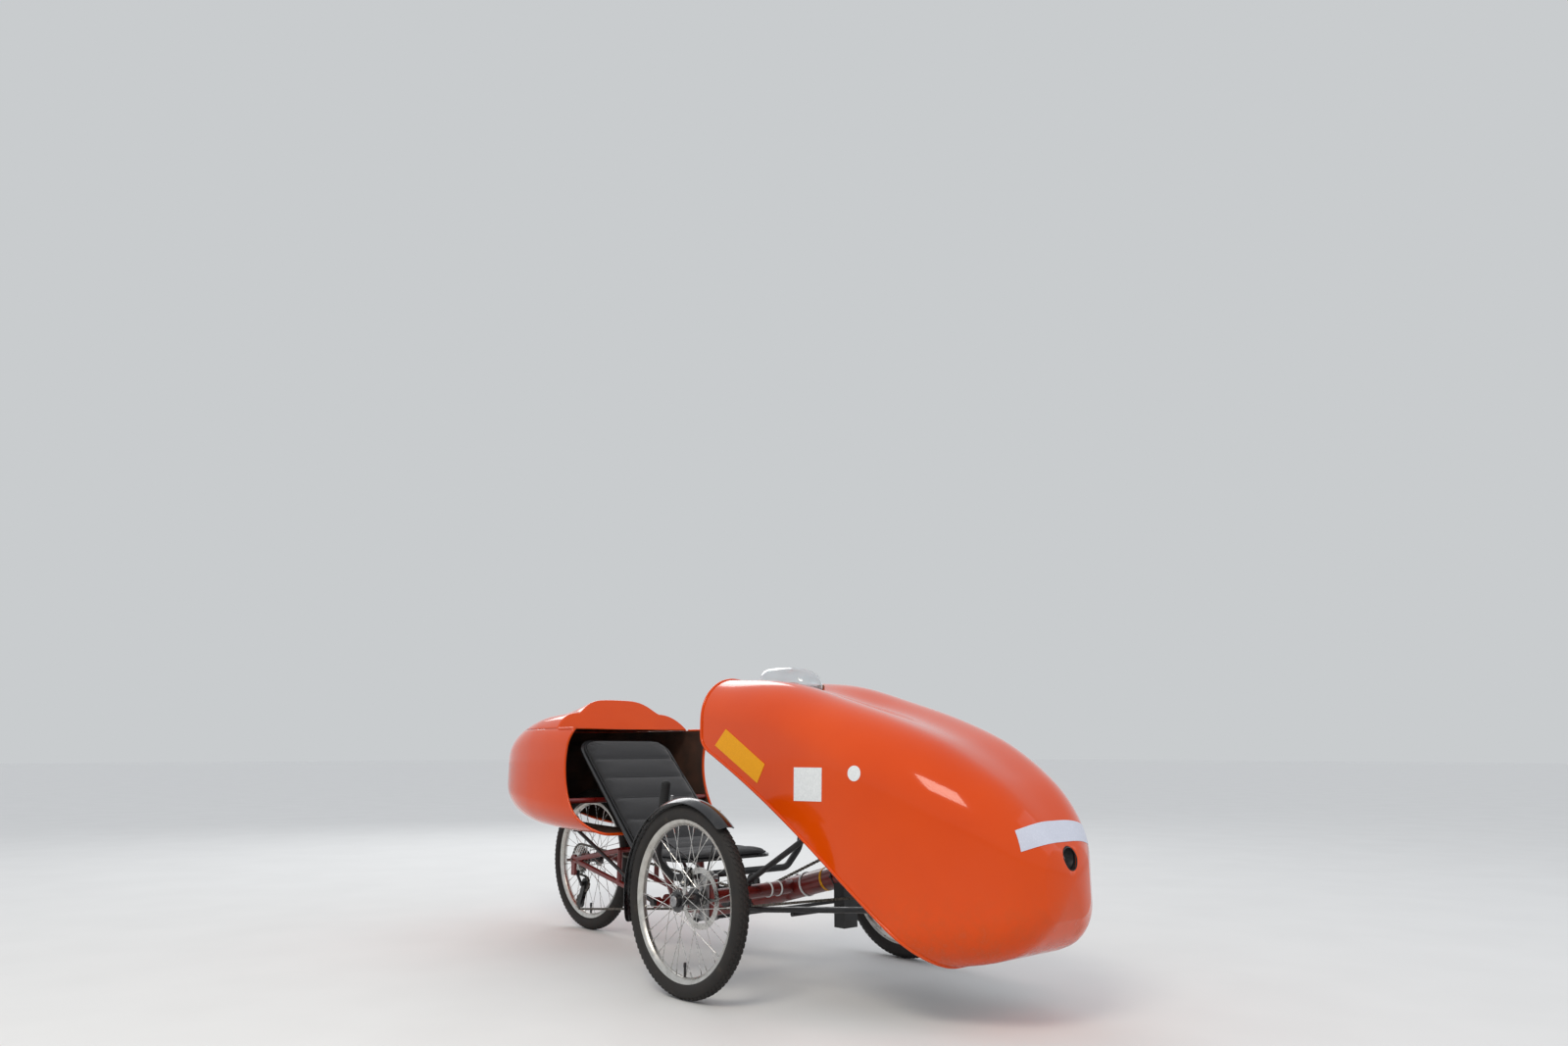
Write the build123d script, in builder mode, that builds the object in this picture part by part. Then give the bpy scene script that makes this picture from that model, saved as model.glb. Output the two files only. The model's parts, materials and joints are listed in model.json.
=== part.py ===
from build123d import *
import os
from math import asin, atan2, cos, degrees, pi, radians, sin, sqrt

# Partly faired tadpole velomobile: two steered front wheels, a driven rear wheel, a nose and a tail fairing.
# Frame: +X forward, +Y left, +Z up, origin on the ground below the middle of the overall length. Millimetres.

os.makedirs("parts", exist_ok=True)

# Layout
WHEELBASE = 1140
TRACK = 862
NOSE_OVERHANG = 918
TAIL_OVERHANG = 460
FRONT_X = (WHEELBASE + TAIL_OVERHANG - NOSE_OVERHANG) / 2
REAR_X = FRONT_X - WHEELBASE
SEAT_GAP = 0.3
BEARING_GAP = 0.05
SIDES = (("right", -1), ("left", 1))

# Wheels
RIM_RADIUS = 211.5
RIM_WIDTH = 26
RIM_DEPTH = 20
TYRE_WIDTH = 45
TYRE_HEIGHT = 36.5
TYRE_SECTION_SIDES = 10
WHEEL_RADIUS = RIM_RADIUS + TYRE_HEIGHT
SPOKES_PER_FLANGE = 18
SPOKE_RADIUS = 1.2
SPOKE_LEAD = 60
FLANGE_RADIUS = 29
FLANGE_OFFSET = 28
FLANGE_THICKNESS = 4
BARREL_RADIUS = 17
STUB_AXLE_RADIUS = 10
AXLE_CAP_RADIUS = 14
REAR_AXLE_RADIUS = 6
HITCH_Y = 95
HITCH_PIN_RADIUS = 5
HITCH_PIN_LENGTH = 17

# Brakes
DISC_RADIUS = 80
DISC_THICKNESS = 2
DISC_OFFSET = 46

# Steering
KINGPIN_INSET = 86
KINGPIN_Y = TRACK / 2 - KINGPIN_INSET
KINGPIN_RADIUS = 6
HEAD_TUBE_RADIUS = 17
HEAD_TUBE_HEIGHT = 96
KNUCKLE_GAP = 2
KNUCKLE_PLATE = 8
STEER_ARM = 70
STEER_PIN_RADIUS = 4
LINK_EYE_RADIUS = 9
LINK_EYE_HEIGHT = 12
LINK_RADIUS = 5
LINK_GAP = 2
BAR_X = FRONT_X - 330
BAR_Z = 262
BAR_RADIUS = 11
BAR_HALF_WIDTH = 290
GRIP_TOP_Z = 545
GRIP_LENGTH = 120
GRIP_RADIUS = 16

# Frame tubes
BOOM_RADIUS = 32
BOOM_SLOPE = 0.26
BOOM_Z_AT_FRONT_AXLE = 252
BOOM_REAR_X = FRONT_X - 420
BRACKET_X_SHELL = FRONT_X + 450
BRACKET_SHELL_HALF = 34
CROSS_TUBE_RADIUS = 19
CROSS_ROOT_X = FRONT_X - 30
PIVOT_X = FRONT_X - 620
PIVOT_Z = 150
PIVOT_RADIUS = 17
STAY_RADIUS = 13
SWINGARM_Y = 78
SWINGARM_TUBE = 9
YOKE_X = FRONT_X - 845
YOKE_Z = 300

# Drive
CHAIN_Y = -50
CHAIN_WIDTH = 7
CHAIN_THICKNESS = 8
CHAIN_GAP = 1
RING_RADIUS = 88
RING_THICKNESS = 3
CHAIN_PITCH = 12.7
GROOVE_DEPTH = 7
GROOVE_WIDTH = RING_THICKNESS + 1.2
TOOTH_HEIGHT = 7
CRANK_LENGTH = 170
CRANK_INNER_Y = 64
CRANK_THICKNESS = 14
PEDAL_LENGTH = 88
IDLER_RADIUS = 26
IDLER_WIDTH = 9
SPROCKET_RADIUS = 48
JOCKEY_RADIUS = 20
GUIDE_PULLEY = (REAR_X + 35, 165)
TENSION_PULLEY = (REAR_X + 10, 100)
UPPER_IDLER = (FRONT_X - 170, 250)
LOWER_IDLER = (FRONT_X - 300, 192)
HANGER_DROP = 46

# Seat
SEAT_FRONT_X = FRONT_X - 335
SEAT_HINGE_X = FRONT_X - 585
SEAT_TOP_X = FRONT_X - 975
SEAT_Z = 308
SEAT_RECLINE = 43
SEAT_SHELL = 8
SEAT_WIDTH = 380
PAD_THICKNESS = 28
PAD_INSET = 12
SEAT_CORNER = 60
SEAT_BEND = 140

# Fairings
WALL = 5
LAMP_Z = 390
LAMP_HOLE_RADIUS = 27
LAMP_RECESS = 12
SEAM_Z = 712
SEAM_GAP = 0.6
SLOT_HALF_WIDTH = 58

# Nose: x ahead of the front axle, half width, bottom, crest height and offset, valley height, lower radius
NOSE_TABLE = (
    (-180, 250, 135, 850, 130, 826, 90),
    (100, 264, 135, 828, 132, 806, 90),
    (300, 274, 133, 776, 134, 758, 90),
    (480, 277, 132, 722, 130, 712, 92),
    (620, 262, 134, 668, 118, 662, 96),
    (690, 245, 140, 631, 107, 627, 100),
    (750, 224, 150, 593, 96, 590, 99),
    (800, 199, 164, 555, 85, 553, 94),
    (842, 171, 184, 511, 73, 509, 82),
    (876, 135, 213, 464, 57, 463, 65),
    (902, 90, 252, 418, 38, 417.4, 44),
)

# Tail: x from the front axle, half width, bottom, lower radius, height where the side ends,
# shoulder offset and height, headrest half width, top height
TAIL_TABLE = (
    (-700, 290, 365, 80, 650, 175, 765, 130, 818),
    (-850, 297, 367, 90, 655, 175, 770, 130, 824),
    (-1000, 296, 371, 95, 655, 175, 770, 130, 824),
    (-1075, 292, 374, 98, 653, 180, 765, 125, 797),
    (-1150, 285, 378, 100, 650, 180, 758, 118, 777),
    (-1260, 266, 390, 101, 640, 165, 738, 104, 752),
    (-1350, 240, 405, 98, 626, 146, 715, 90, 727),
    (-1430, 205, 424, 91, 608, 122, 687, 74, 697),
    (-1495, 164, 446, 79, 590, 95, 659, 57, 667),
    (-1545, 118, 474, 63, 572, 66, 630, 40, 636),
    (-1580, 62, 508, 36, 558, 33, 597, 21, 600),
)


def table_value(table, x, column):
    """Value of one column of a section table at x, straight between its rows."""
    for first, second in zip(table, table[1:]):
        if min(first[0], second[0]) <= x <= max(first[0], second[0]):
            share = (x - first[0]) / (second[0] - first[0])
            return first[column] + share * (second[column] - first[column])
    raise ValueError(f"no section at {x}")


def save(builder, name):
    """Labels the finished piece and writes its file."""
    builder.part.label = name
    export_step(builder.part, f"parts/{name}.step")


def rod(start, end, radius, mode=Mode.ADD):
    """Adds a straight round bar from start to end."""
    axis = Vector(*end) - Vector(*start)
    with BuildSketch(Plane(origin=start, z_dir=axis)) as section:
        Circle(radius)
    extrude(section.sketch, amount=axis.length, mode=mode)


def boom_z(x):
    """Height of the boom's centre line at x."""
    return BOOM_Z_AT_FRONT_AXLE + BOOM_SLOPE * (x - FRONT_X)


def boom_solid(radius, mode):
    """The boom's round tube, also used to cut what is saddled on it."""
    start = (BOOM_REAR_X, 0, boom_z(BOOM_REAR_X))
    end = (BRACKET_X_SHELL, 0, boom_z(BRACKET_X_SHELL))
    rod(start, end, radius, mode=mode)


def disc(centre, radius, y_from, y_to, mode=Mode.ADD):
    """Adds a round disc or barrel about a crosswise axis through centre."""
    rod((centre[0], y_from, centre[2]), (centre[0], y_to, centre[2]), radius, mode=mode)


# Wheels: name, x, y, and the side that faces outwards
WHEELS = (
    ("front_right", FRONT_X, -TRACK / 2, -1),
    ("front_left", FRONT_X, TRACK / 2, 1),
    ("rear", REAR_X, 0, 1),
)


def spoke(centre, side, index):
    """One spoke bar from the hub flange to the rim, crossing its neighbours."""
    pitch = 360 / SPOKES_PER_FLANGE
    lead = SPOKE_LEAD if index % 2 == 0 else -SPOKE_LEAD
    hub_angle = radians((index + (0.5 if side > 0 else 0)) * pitch)
    rim_angle = hub_angle + radians(lead)
    hub_reach = FLANGE_RADIUS - 3
    rim_reach = RIM_RADIUS - RIM_DEPTH - SEAT_GAP
    hub_y = centre[1] + side * (FLANGE_OFFSET + (1 if index % 2 == 0 else -1))
    start = Vector(centre[0] + hub_reach * cos(hub_angle), hub_y, centre[2] + hub_reach * sin(hub_angle))
    rim_end = (rim_reach * cos(rim_angle), side * 3, rim_reach * sin(rim_angle))
    end = Vector(*centre) + Vector(*rim_end)
    axis = end - start
    with BuildSketch(Plane(origin=start, z_dir=axis), mode=Mode.PRIVATE) as section:
        RegularPolygon(SPOKE_RADIUS, 4)
    return extrude(section.sketch, amount=axis.length, mode=Mode.PRIVATE)


for name, wheel_x, wheel_y, out in WHEELS:
    centre = (wheel_x, wheel_y, WHEEL_RADIUS)
    wheel_axis = Axis(centre, (0, 1, 0))

    # Tyre, a ring that bulges over the rim
    with BuildPart() as tyre:
        with BuildSketch(Plane(origin=centre)):
            with Locations((WHEEL_RADIUS - TYRE_WIDTH / 2, 0)):
                turn = 180 / TYRE_SECTION_SIDES
                RegularPolygon(TYRE_WIDTH / 2, TYRE_SECTION_SIDES, rotation=turn, major_radius=False)
            with Locations(((RIM_RADIUS + SEAT_GAP) / 2, 0)):
                Rectangle(RIM_RADIUS + SEAT_GAP, 2 * TYRE_WIDTH, mode=Mode.SUBTRACT)
        revolve(axis=wheel_axis)
    save(tyre, f"tyre_{name}")

    # Alloy rim with a tapered inner side
    with BuildPart() as rim:
        with BuildSketch(Plane(origin=centre)):
            with BuildLine():
                Polyline(
                    (RIM_RADIUS, -RIM_WIDTH / 2),
                    (RIM_RADIUS, RIM_WIDTH / 2),
                    (RIM_RADIUS - RIM_DEPTH * 0.6, RIM_WIDTH / 2),
                    (RIM_RADIUS - RIM_DEPTH, RIM_WIDTH / 4),
                    (RIM_RADIUS - RIM_DEPTH, -RIM_WIDTH / 4),
                    (RIM_RADIUS - RIM_DEPTH * 0.6, -RIM_WIDTH / 2),
                    close=True,
                )
            make_face()
        revolve(axis=wheel_axis)
    save(rim, f"rim_{name}")

    # Hub with both flanges and all spokes
    front = name != "rear"
    bore_radius = (STUB_AXLE_RADIUS if front else REAR_AXLE_RADIUS) + BEARING_GAP
    inner_end = DISC_OFFSET if front else 40
    with BuildPart() as hub:
        disc(centre, BARREL_RADIUS, wheel_y - out * inner_end, wheel_y + out * 38)
        for side in (-1, 1):
            flange_y = wheel_y + side * FLANGE_OFFSET
            disc(centre, FLANGE_RADIUS, flange_y - FLANGE_THICKNESS / 2, flange_y + FLANGE_THICKNESS / 2)
        add([spoke(centre, side, index) for side in (-1, 1) for index in range(SPOKES_PER_FLANGE)])
        if front:
            disc(centre, bore_radius, wheel_y - out * inner_end, wheel_y + out * 36, mode=Mode.SUBTRACT)
            disc(centre, AXLE_CAP_RADIUS, wheel_y + out * 37, wheel_y + out * 44)
        else:
            disc(centre, bore_radius, wheel_y - 70, wheel_y + 70, mode=Mode.SUBTRACT)
    save(hub, f"hub_{name}")

    # Brake disc on the hub's inner end, or the sprockets on the right of the rear hub
    if front:
        with BuildPart() as brake_disc:
            disc_y = wheel_y - out * DISC_OFFSET
            disc(centre, DISC_RADIUS, disc_y, disc_y - out * DISC_THICKNESS)
            disc(centre, DISC_RADIUS - 16, disc_y, disc_y - out * DISC_THICKNESS, mode=Mode.SUBTRACT)
            disc(centre, BARREL_RADIUS + 4, disc_y, disc_y - out * DISC_THICKNESS)
            disc_plane = Plane(origin=(wheel_x, disc_y, WHEEL_RADIUS), x_dir=(1, 0, 0), z_dir=(0, -out, 0))
            with BuildSketch(disc_plane):
                with PolarLocations((BARREL_RADIUS + DISC_RADIUS - 14) / 2, 6):
                    Rectangle(DISC_RADIUS - BARREL_RADIUS - 14, 7)
            extrude(amount=DISC_THICKNESS)
            disc(centre, bore_radius, disc_y + out, disc_y - out * 2 * DISC_THICKNESS, mode=Mode.SUBTRACT)
        save(brake_disc, f"brake_disc_{name}")


def toothed_ring(centre_x, centre_z, root_radius, thickness, y):
    """Adds a sprocket with teeth at the chain's pitch, thick about y."""
    pitch_radius = root_radius + CHAIN_GAP + CHAIN_THICKNESS / 2
    teeth = round(2 * pi * pitch_radius / CHAIN_PITCH)
    tip_radius = root_radius + TOOTH_HEIGHT
    points = []
    for tooth in range(teeth):
        for share, radius in ((0, root_radius), (0.35, root_radius), (0.58, tip_radius), (0.77, tip_radius)):
            angle = 2 * pi * (tooth + share) / teeth
            points.append((centre_x + radius * cos(angle), centre_z + radius * sin(angle)))
    with BuildSketch(Plane.XZ.offset(-y)) as outline:
        with BuildLine():
            Polyline(*points, close=True)
        make_face()
    extrude(outline.sketch, amount=thickness / 2, both=True)


# Sprocket cluster on the rear hub: root radius of each sprocket and its distance right of the wheel's middle
SPROCKETS = ((SPROCKET_RADIUS, -CHAIN_Y), (39, 54), (31, 58), (24, 62))
SPROCKET_THICKNESS = 2
with BuildPart() as sprockets:
    rear_centre = (REAR_X, 0, WHEEL_RADIUS)
    disc(rear_centre, 19, -40 - SEAT_GAP, -63)
    for radius, offset_y in SPROCKETS:
        toothed_ring(REAR_X, WHEEL_RADIUS, radius, SPROCKET_THICKNESS, -offset_y)
    disc(rear_centre, REAR_AXLE_RADIUS + BEARING_GAP, -30, -80, mode=Mode.SUBTRACT)
save(sprockets, "sprockets")

# Main boom with the bracket shell for the cranks
with BuildPart() as boom:
    boom_solid(BOOM_RADIUS, Mode.ADD)
    shell_centre = (BRACKET_X_SHELL, 0, boom_z(BRACKET_X_SHELL))
    disc(shell_centre, BOOM_RADIUS + 2, -BRACKET_SHELL_HALF, BRACKET_SHELL_HALF)
    disc(shell_centre, 12 + BEARING_GAP, -BRACKET_SHELL_HALF - 1, BRACKET_SHELL_HALF + 1, mode=Mode.SUBTRACT)
save(boom, "main_boom")

# Cross member: a tube to each kingpin tube, saddled on the boom
cross_z = WHEEL_RADIUS
with BuildPart() as cross_member:
    for side_name, s in SIDES:
        rod((CROSS_ROOT_X, 0, cross_z), (FRONT_X, s * KINGPIN_Y, cross_z), CROSS_TUBE_RADIUS)
        pin_foot = (FRONT_X, s * KINGPIN_Y, cross_z - HEAD_TUBE_HEIGHT / 2)
        pin_top = (FRONT_X, s * KINGPIN_Y, cross_z + HEAD_TUBE_HEIGHT / 2)
        rod(pin_foot, pin_top, HEAD_TUBE_RADIUS)
    for side_name, s in SIDES:
        bore_foot = (FRONT_X, s * KINGPIN_Y, cross_z - HEAD_TUBE_HEIGHT)
        bore_top = (FRONT_X, s * KINGPIN_Y, cross_z + HEAD_TUBE_HEIGHT)
        rod(bore_foot, bore_top, KINGPIN_RADIUS + BEARING_GAP, mode=Mode.SUBTRACT)
    boom_solid(BOOM_RADIUS + SEAT_GAP, Mode.SUBTRACT)
save(cross_member, "cross_member")

# Steering knuckles: kingpin, two plates, web, stub axle and steering arm
plate_reach = HEAD_TUBE_HEIGHT / 2 + KNUCKLE_GAP
web_inner = HEAD_TUBE_RADIUS + 4
web_outer = web_inner + 7
arm_bottom_z = cross_z - plate_reach - KNUCKLE_PLATE
arm_top_z = cross_z - plate_reach
TIE_Z = arm_bottom_z - LINK_GAP - LINK_EYE_HEIGHT / 2
DRAG_Z = arm_top_z + LINK_GAP + 3 + LINK_EYE_HEIGHT / 2
for side_name, s in SIDES:
    pin_y = s * KINGPIN_Y
    with BuildPart() as knuckle:
        kingpin_foot = (FRONT_X, pin_y, cross_z - plate_reach - 16)
        kingpin_top = (FRONT_X, pin_y, cross_z + plate_reach + 14)
        rod(kingpin_foot, kingpin_top, KINGPIN_RADIUS)
        for plate_z in (cross_z + plate_reach, arm_bottom_z):
            with BuildSketch(Plane.XY.offset(plate_z)):
                with Locations((FRONT_X, pin_y)):
                    Circle(HEAD_TUBE_RADIUS)
                with Locations((FRONT_X, pin_y + s * web_outer / 2)):
                    Rectangle(2 * HEAD_TUBE_RADIUS, web_outer)
            extrude(amount=KNUCKLE_PLATE)
        with BuildSketch(Plane.XY.offset(arm_bottom_z)):
            with Locations((FRONT_X, pin_y + s * (web_inner + web_outer) / 2)):
                Rectangle(2 * HEAD_TUBE_RADIUS, web_outer - web_inner)
        extrude(amount=2 * (plate_reach + KNUCKLE_PLATE))
        # Steering arm to the rear
        with BuildSketch(Plane.XY.offset(arm_bottom_z)):
            with Locations((FRONT_X - STEER_ARM / 2, pin_y)):
                Rectangle(STEER_ARM, 18)
            with Locations((FRONT_X - STEER_ARM, pin_y)):
                Circle(LINK_EYE_RADIUS)
        extrude(amount=KNUCKLE_PLATE)
        arm_end_x = FRONT_X - STEER_ARM
        pin_low_z = TIE_Z - LINK_EYE_HEIGHT / 2 - 1
        pin_high_z = DRAG_Z + LINK_EYE_HEIGHT / 2 + 1 if s > 0 else arm_top_z
        rod((arm_end_x, pin_y, pin_low_z), (arm_end_x, pin_y, pin_high_z), STEER_PIN_RADIUS)
        # Stub axle
        axle_end = s * (TRACK / 2 + 35)
        rod((FRONT_X, pin_y + s * web_inner, cross_z), (FRONT_X, axle_end, cross_z), STUB_AXLE_RADIUS)
        # Lug that carries the brake caliper
        with BuildSketch(Plane.XZ.offset(-(pin_y + s * web_inner))):
            with Locations((FRONT_X - 36, cross_z + 34)):
                Rectangle(50, 20)
        extrude(amount=-s * (web_outer - web_inner))
    save(knuckle, f"knuckle_{side_name}")

# Brake calipers: a block over the disc's edge, bolted to the knuckle's lug
for side_name, s in SIDES:
    disc_face = TRACK / 2 - DISC_OFFSET - DISC_THICKNESS
    with BuildPart() as caliper:
        inner_y = KINGPIN_Y + web_outer + SEAT_GAP
        outer_y = disc_face + DISC_THICKNESS + 9
        with BuildSketch(Plane.XZ.offset(-s * inner_y)):
            with Locations(Location((FRONT_X - 62, cross_z + 50), 39)):
                RectangleRounded(48, 36, 8)
        extrude(amount=-s * (outer_y - inner_y))
        slot_from = s * (disc_face - 2)
        slot_to = s * (disc_face + DISC_THICKNESS + 2)
        disc((FRONT_X, 0, cross_z), DISC_RADIUS + 3, slot_from, slot_to, mode=Mode.SUBTRACT)
    save(caliper, f"brake_caliper_{side_name}")

# Front mudguards: a crowned strip round the tyre, on two stays from the knuckle
GUARD_INNER_RADIUS = WHEEL_RADIUS + 14
GUARD_WIDTH = 58
GUARD_CROWN = 12
GUARD_WALL = 2.5
GUARD_START = -42
GUARD_SWEEP = 150
GUARD_STAY_RADIUS = 2.5
GUARD_STAY_ANGLES = (25, -50)
for side_name, s in SIDES:
    centre = (FRONT_X, s * TRACK / 2, WHEEL_RADIUS)
    with BuildPart() as mudguard:
        lean = radians(GUARD_START)
        outwards = (-sin(lean), 0, cos(lean))
        start_plane = Plane(origin=centre, x_dir=outwards, z_dir=(-cos(lean), 0, -sin(lean)))
        with BuildSketch(start_plane):
            with BuildLine():
                half = GUARD_WIDTH / 2
                low = GUARD_INNER_RADIUS - GUARD_CROWN
                shares = (-1, -0.5, 0, 0.5, 1)
                under = [(GUARD_INNER_RADIUS - GUARD_CROWN * share**2, half * share) for share in shares]
                over = [(radius + GUARD_WALL, y) for radius, y in reversed(under)]
                Polyline(*under, *over, close=True)
            make_face()
        revolve(axis=Axis(centre, (0, -1, 0)), revolution_arc=GUARD_SWEEP)
        boss_y = s * (KINGPIN_Y + HEAD_TUBE_RADIUS)
        boss_z = cross_z + plate_reach + KNUCKLE_PLATE + SEAT_GAP
        rod((FRONT_X, boss_y, boss_z), (FRONT_X, boss_y, boss_z + 9), 6)
        for stay_angle in GUARD_STAY_ANGLES:
            reach = low + GUARD_WALL / 2
            stay_top = (
                FRONT_X + reach * sin(radians(stay_angle)),
                s * (TRACK / 2 - half + 1),
                WHEEL_RADIUS + reach * cos(radians(stay_angle)),
            )
            rod((FRONT_X, boss_y, boss_z + 5), stay_top, GUARD_STAY_RADIUS)
    save(mudguard, f"mudguard_{side_name}")


def link_bar(first, second, z):
    """A level steering link with a bored eye at each end."""
    along = (Vector(*second) - Vector(*first)).normalized()
    inset = STEER_PIN_RADIUS + BEARING_GAP + 2
    start = Vector(*first, z) + along * inset
    end = Vector(*second, z) - along * inset
    rod(start, end, LINK_RADIUS)
    for x, y in (first, second):
        rod((x, y, z - LINK_EYE_HEIGHT / 2), (x, y, z + LINK_EYE_HEIGHT / 2), LINK_EYE_RADIUS)
    for x, y in (first, second):
        bore_radius = STEER_PIN_RADIUS + BEARING_GAP
        rod((x, y, z - LINK_EYE_HEIGHT), (x, y, z + LINK_EYE_HEIGHT), bore_radius, mode=Mode.SUBTRACT)


# Tie rod between the two steering arms
arm_x = FRONT_X - STEER_ARM
with BuildPart() as tie_rod:
    link_bar((arm_x, -KINGPIN_Y), (arm_x, KINGPIN_Y), TIE_Z)
save(tie_rod, "tie_rod")

# Drag link from the handlebar's stem to the left steering arm
with BuildPart() as drag_link:
    link_bar((BAR_X - STEER_ARM, 0), (arm_x, KINGPIN_Y), DRAG_Z)
save(drag_link, "drag_link")

# Under-seat handlebar: crosswise tube, uprights, pivot sleeve and stem
POST_RADIUS = 9
SLEEVE_RADIUS = 15
SLEEVE_HALF = 14
STEM_Z = BAR_Z - 8
GRIP_LEAN = 35
with BuildPart() as handlebar:
    corner = BAR_HALF_WIDTH - 60
    rod((BAR_X, -corner, BAR_Z), (BAR_X, corner, BAR_Z), BAR_RADIUS)
    for side_name, s in SIDES:
        rod((BAR_X, s * corner, BAR_Z), (BAR_X, s * BAR_HALF_WIDTH, BAR_Z + 60), BAR_RADIUS)
        with Locations((BAR_X, s * corner, BAR_Z), (BAR_X, s * BAR_HALF_WIDTH, BAR_Z + 60)):
            Sphere(BAR_RADIUS)
        upright_top = (BAR_X + GRIP_LEAN, s * BAR_HALF_WIDTH, GRIP_TOP_Z)
        rod((BAR_X, s * BAR_HALF_WIDTH, BAR_Z + 60), upright_top, BAR_RADIUS)
    rod((BAR_X, 0, BAR_Z - SLEEVE_HALF), (BAR_X, 0, BAR_Z + SLEEVE_HALF), SLEEVE_RADIUS)
    with BuildSketch(Plane.XY.offset(BAR_Z - SLEEVE_HALF)):
        with Locations((BAR_X - STEER_ARM / 2, 0)):
            Rectangle(STEER_ARM, 16)
        with Locations((BAR_X - STEER_ARM, 0)):
            Circle(8)
    extrude(amount=KNUCKLE_PLATE)
    stem_x = BAR_X - STEER_ARM
    pin_low_z = DRAG_Z - LINK_EYE_HEIGHT / 2 - 1
    rod((stem_x, 0, pin_low_z), (stem_x, 0, BAR_Z - SLEEVE_HALF + 2), STEER_PIN_RADIUS)
    rod((BAR_X, 0, BAR_Z - 40), (BAR_X, 0, BAR_Z + 40), POST_RADIUS + BEARING_GAP, mode=Mode.SUBTRACT)
save(handlebar, "handlebar")

# Pivot post on the boom for the handlebar
with BuildPart() as bar_post:
    rod((BAR_X, 0, boom_z(BAR_X)), (BAR_X, 0, BAR_Z - SLEEVE_HALF - LINK_GAP), SLEEVE_RADIUS)
    rod((BAR_X, 0, boom_z(BAR_X)), (BAR_X, 0, BAR_Z + SLEEVE_HALF + 6), POST_RADIUS)
    boom_solid(BOOM_RADIUS + SEAT_GAP, Mode.SUBTRACT)
save(bar_post, "handlebar_post")

# Rubber grips over the uprights
with BuildPart() as grips:
    for side_name, s in SIDES:
        foot = Vector(BAR_X, s * BAR_HALF_WIDTH, BAR_Z + 60)
        top = Vector(BAR_X + GRIP_LEAN, s * BAR_HALF_WIDTH, GRIP_TOP_Z)
        along = (top - foot).normalized()
        start = top - along * GRIP_LENGTH
        rod(start, top + along * 4, GRIP_RADIUS)
        rod(start - along, top + along * SEAT_GAP, BAR_RADIUS + SEAT_GAP, mode=Mode.SUBTRACT)
save(grips, "grips")

# Rear frame: spine behind the boom, seat post, pivot tube, backrest stay and tail bar
POST_FOOT_X = FRONT_X - 478
SEAT_PLATE = (90, 120, 6)
PIVOT_HOUSING_Y = 42
SPINDLE_Y = SWINGARM_Y - 9 - SEAT_GAP
TAIL_BAR_X = FRONT_X - 850
TAIL_BAR_Z = 470
TAIL_BAR_RADIUS = 9
STAY_TOP = (TAIL_BAR_X, 0, TAIL_BAR_Z)
with BuildPart() as rear_frame:
    spine_z = boom_z(BOOM_REAR_X)
    rod((BOOM_REAR_X, 0, spine_z), (PIVOT_X, 0, PIVOT_Z), BOOM_RADIUS - 4)
    rod((POST_FOOT_X, 0, PIVOT_Z), (POST_FOOT_X - 20, 0, SEAT_Z - SEAT_SHELL - SEAT_PLATE[2]), STAY_RADIUS)
    with Locations((POST_FOOT_X - 20, 0, SEAT_Z - SEAT_SHELL - SEAT_PLATE[2] / 2 - SEAT_GAP)):
        Box(*SEAT_PLATE)
    disc((PIVOT_X, 0, PIVOT_Z), PIVOT_RADIUS + 6, -PIVOT_HOUSING_Y, PIVOT_HOUSING_Y)
    disc((PIVOT_X, 0, PIVOT_Z), PIVOT_RADIUS - 7, -SPINDLE_Y, SPINDLE_Y)
    rod((PIVOT_X, 0, PIVOT_Z), STAY_TOP, STAY_RADIUS)
    bar_reach = table_value(TAIL_TABLE, TAIL_BAR_X + TAIL_BAR_RADIUS - FRONT_X, 1) - WALL - SEAT_GAP
    disc(STAY_TOP, TAIL_BAR_RADIUS, -bar_reach, bar_reach)
    boom_solid(BOOM_RADIUS + SEAT_GAP, Mode.SUBTRACT)
save(rear_frame, "rear_frame")

# Swingarm: two triangulated sides, the pivot spindle and the yoke for the shock absorber
with BuildPart() as swingarm:
    for side_name, s in SIDES:
        y = s * SWINGARM_Y
        axle = (REAR_X, y, WHEEL_RADIUS)
        rod(axle, (PIVOT_X, y, PIVOT_Z), SWINGARM_TUBE)
        rod(axle, (YOKE_X, y, YOKE_Z), SWINGARM_TUBE)
        rod((YOKE_X, y, YOKE_Z), (YOKE_X, y, 185), SWINGARM_TUBE)
        disc(axle, 18, y - 5, y + 5)
        disc((PIVOT_X, 0, PIVOT_Z), PIVOT_RADIUS, y - 9, y + 9)
    with Locations((REAR_X, -SWINGARM_Y, WHEEL_RADIUS - HANGER_DROP / 2)):
        Box(22, 10, HANGER_DROP + 16)
    disc((YOKE_X, 0, YOKE_Z), SWINGARM_TUBE, -SWINGARM_Y, SWINGARM_Y)
    disc((REAR_X, 0, WHEEL_RADIUS), REAR_AXLE_RADIUS, -100, 100, mode=Mode.SUBTRACT)
save(swingarm, "rear_swingarm")

# Rear axle, long enough at its ends to carry a tow hitch
with BuildPart() as rear_axle:
    disc((REAR_X, 0, WHEEL_RADIUS), REAR_AXLE_RADIUS, -HITCH_Y, HITCH_Y)
    disc((REAR_X, 0, WHEEL_RADIUS), HITCH_PIN_RADIUS, -HITCH_Y - HITCH_PIN_LENGTH, HITCH_Y + HITCH_PIN_LENGTH)
save(rear_axle, "rear_axle")

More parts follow.
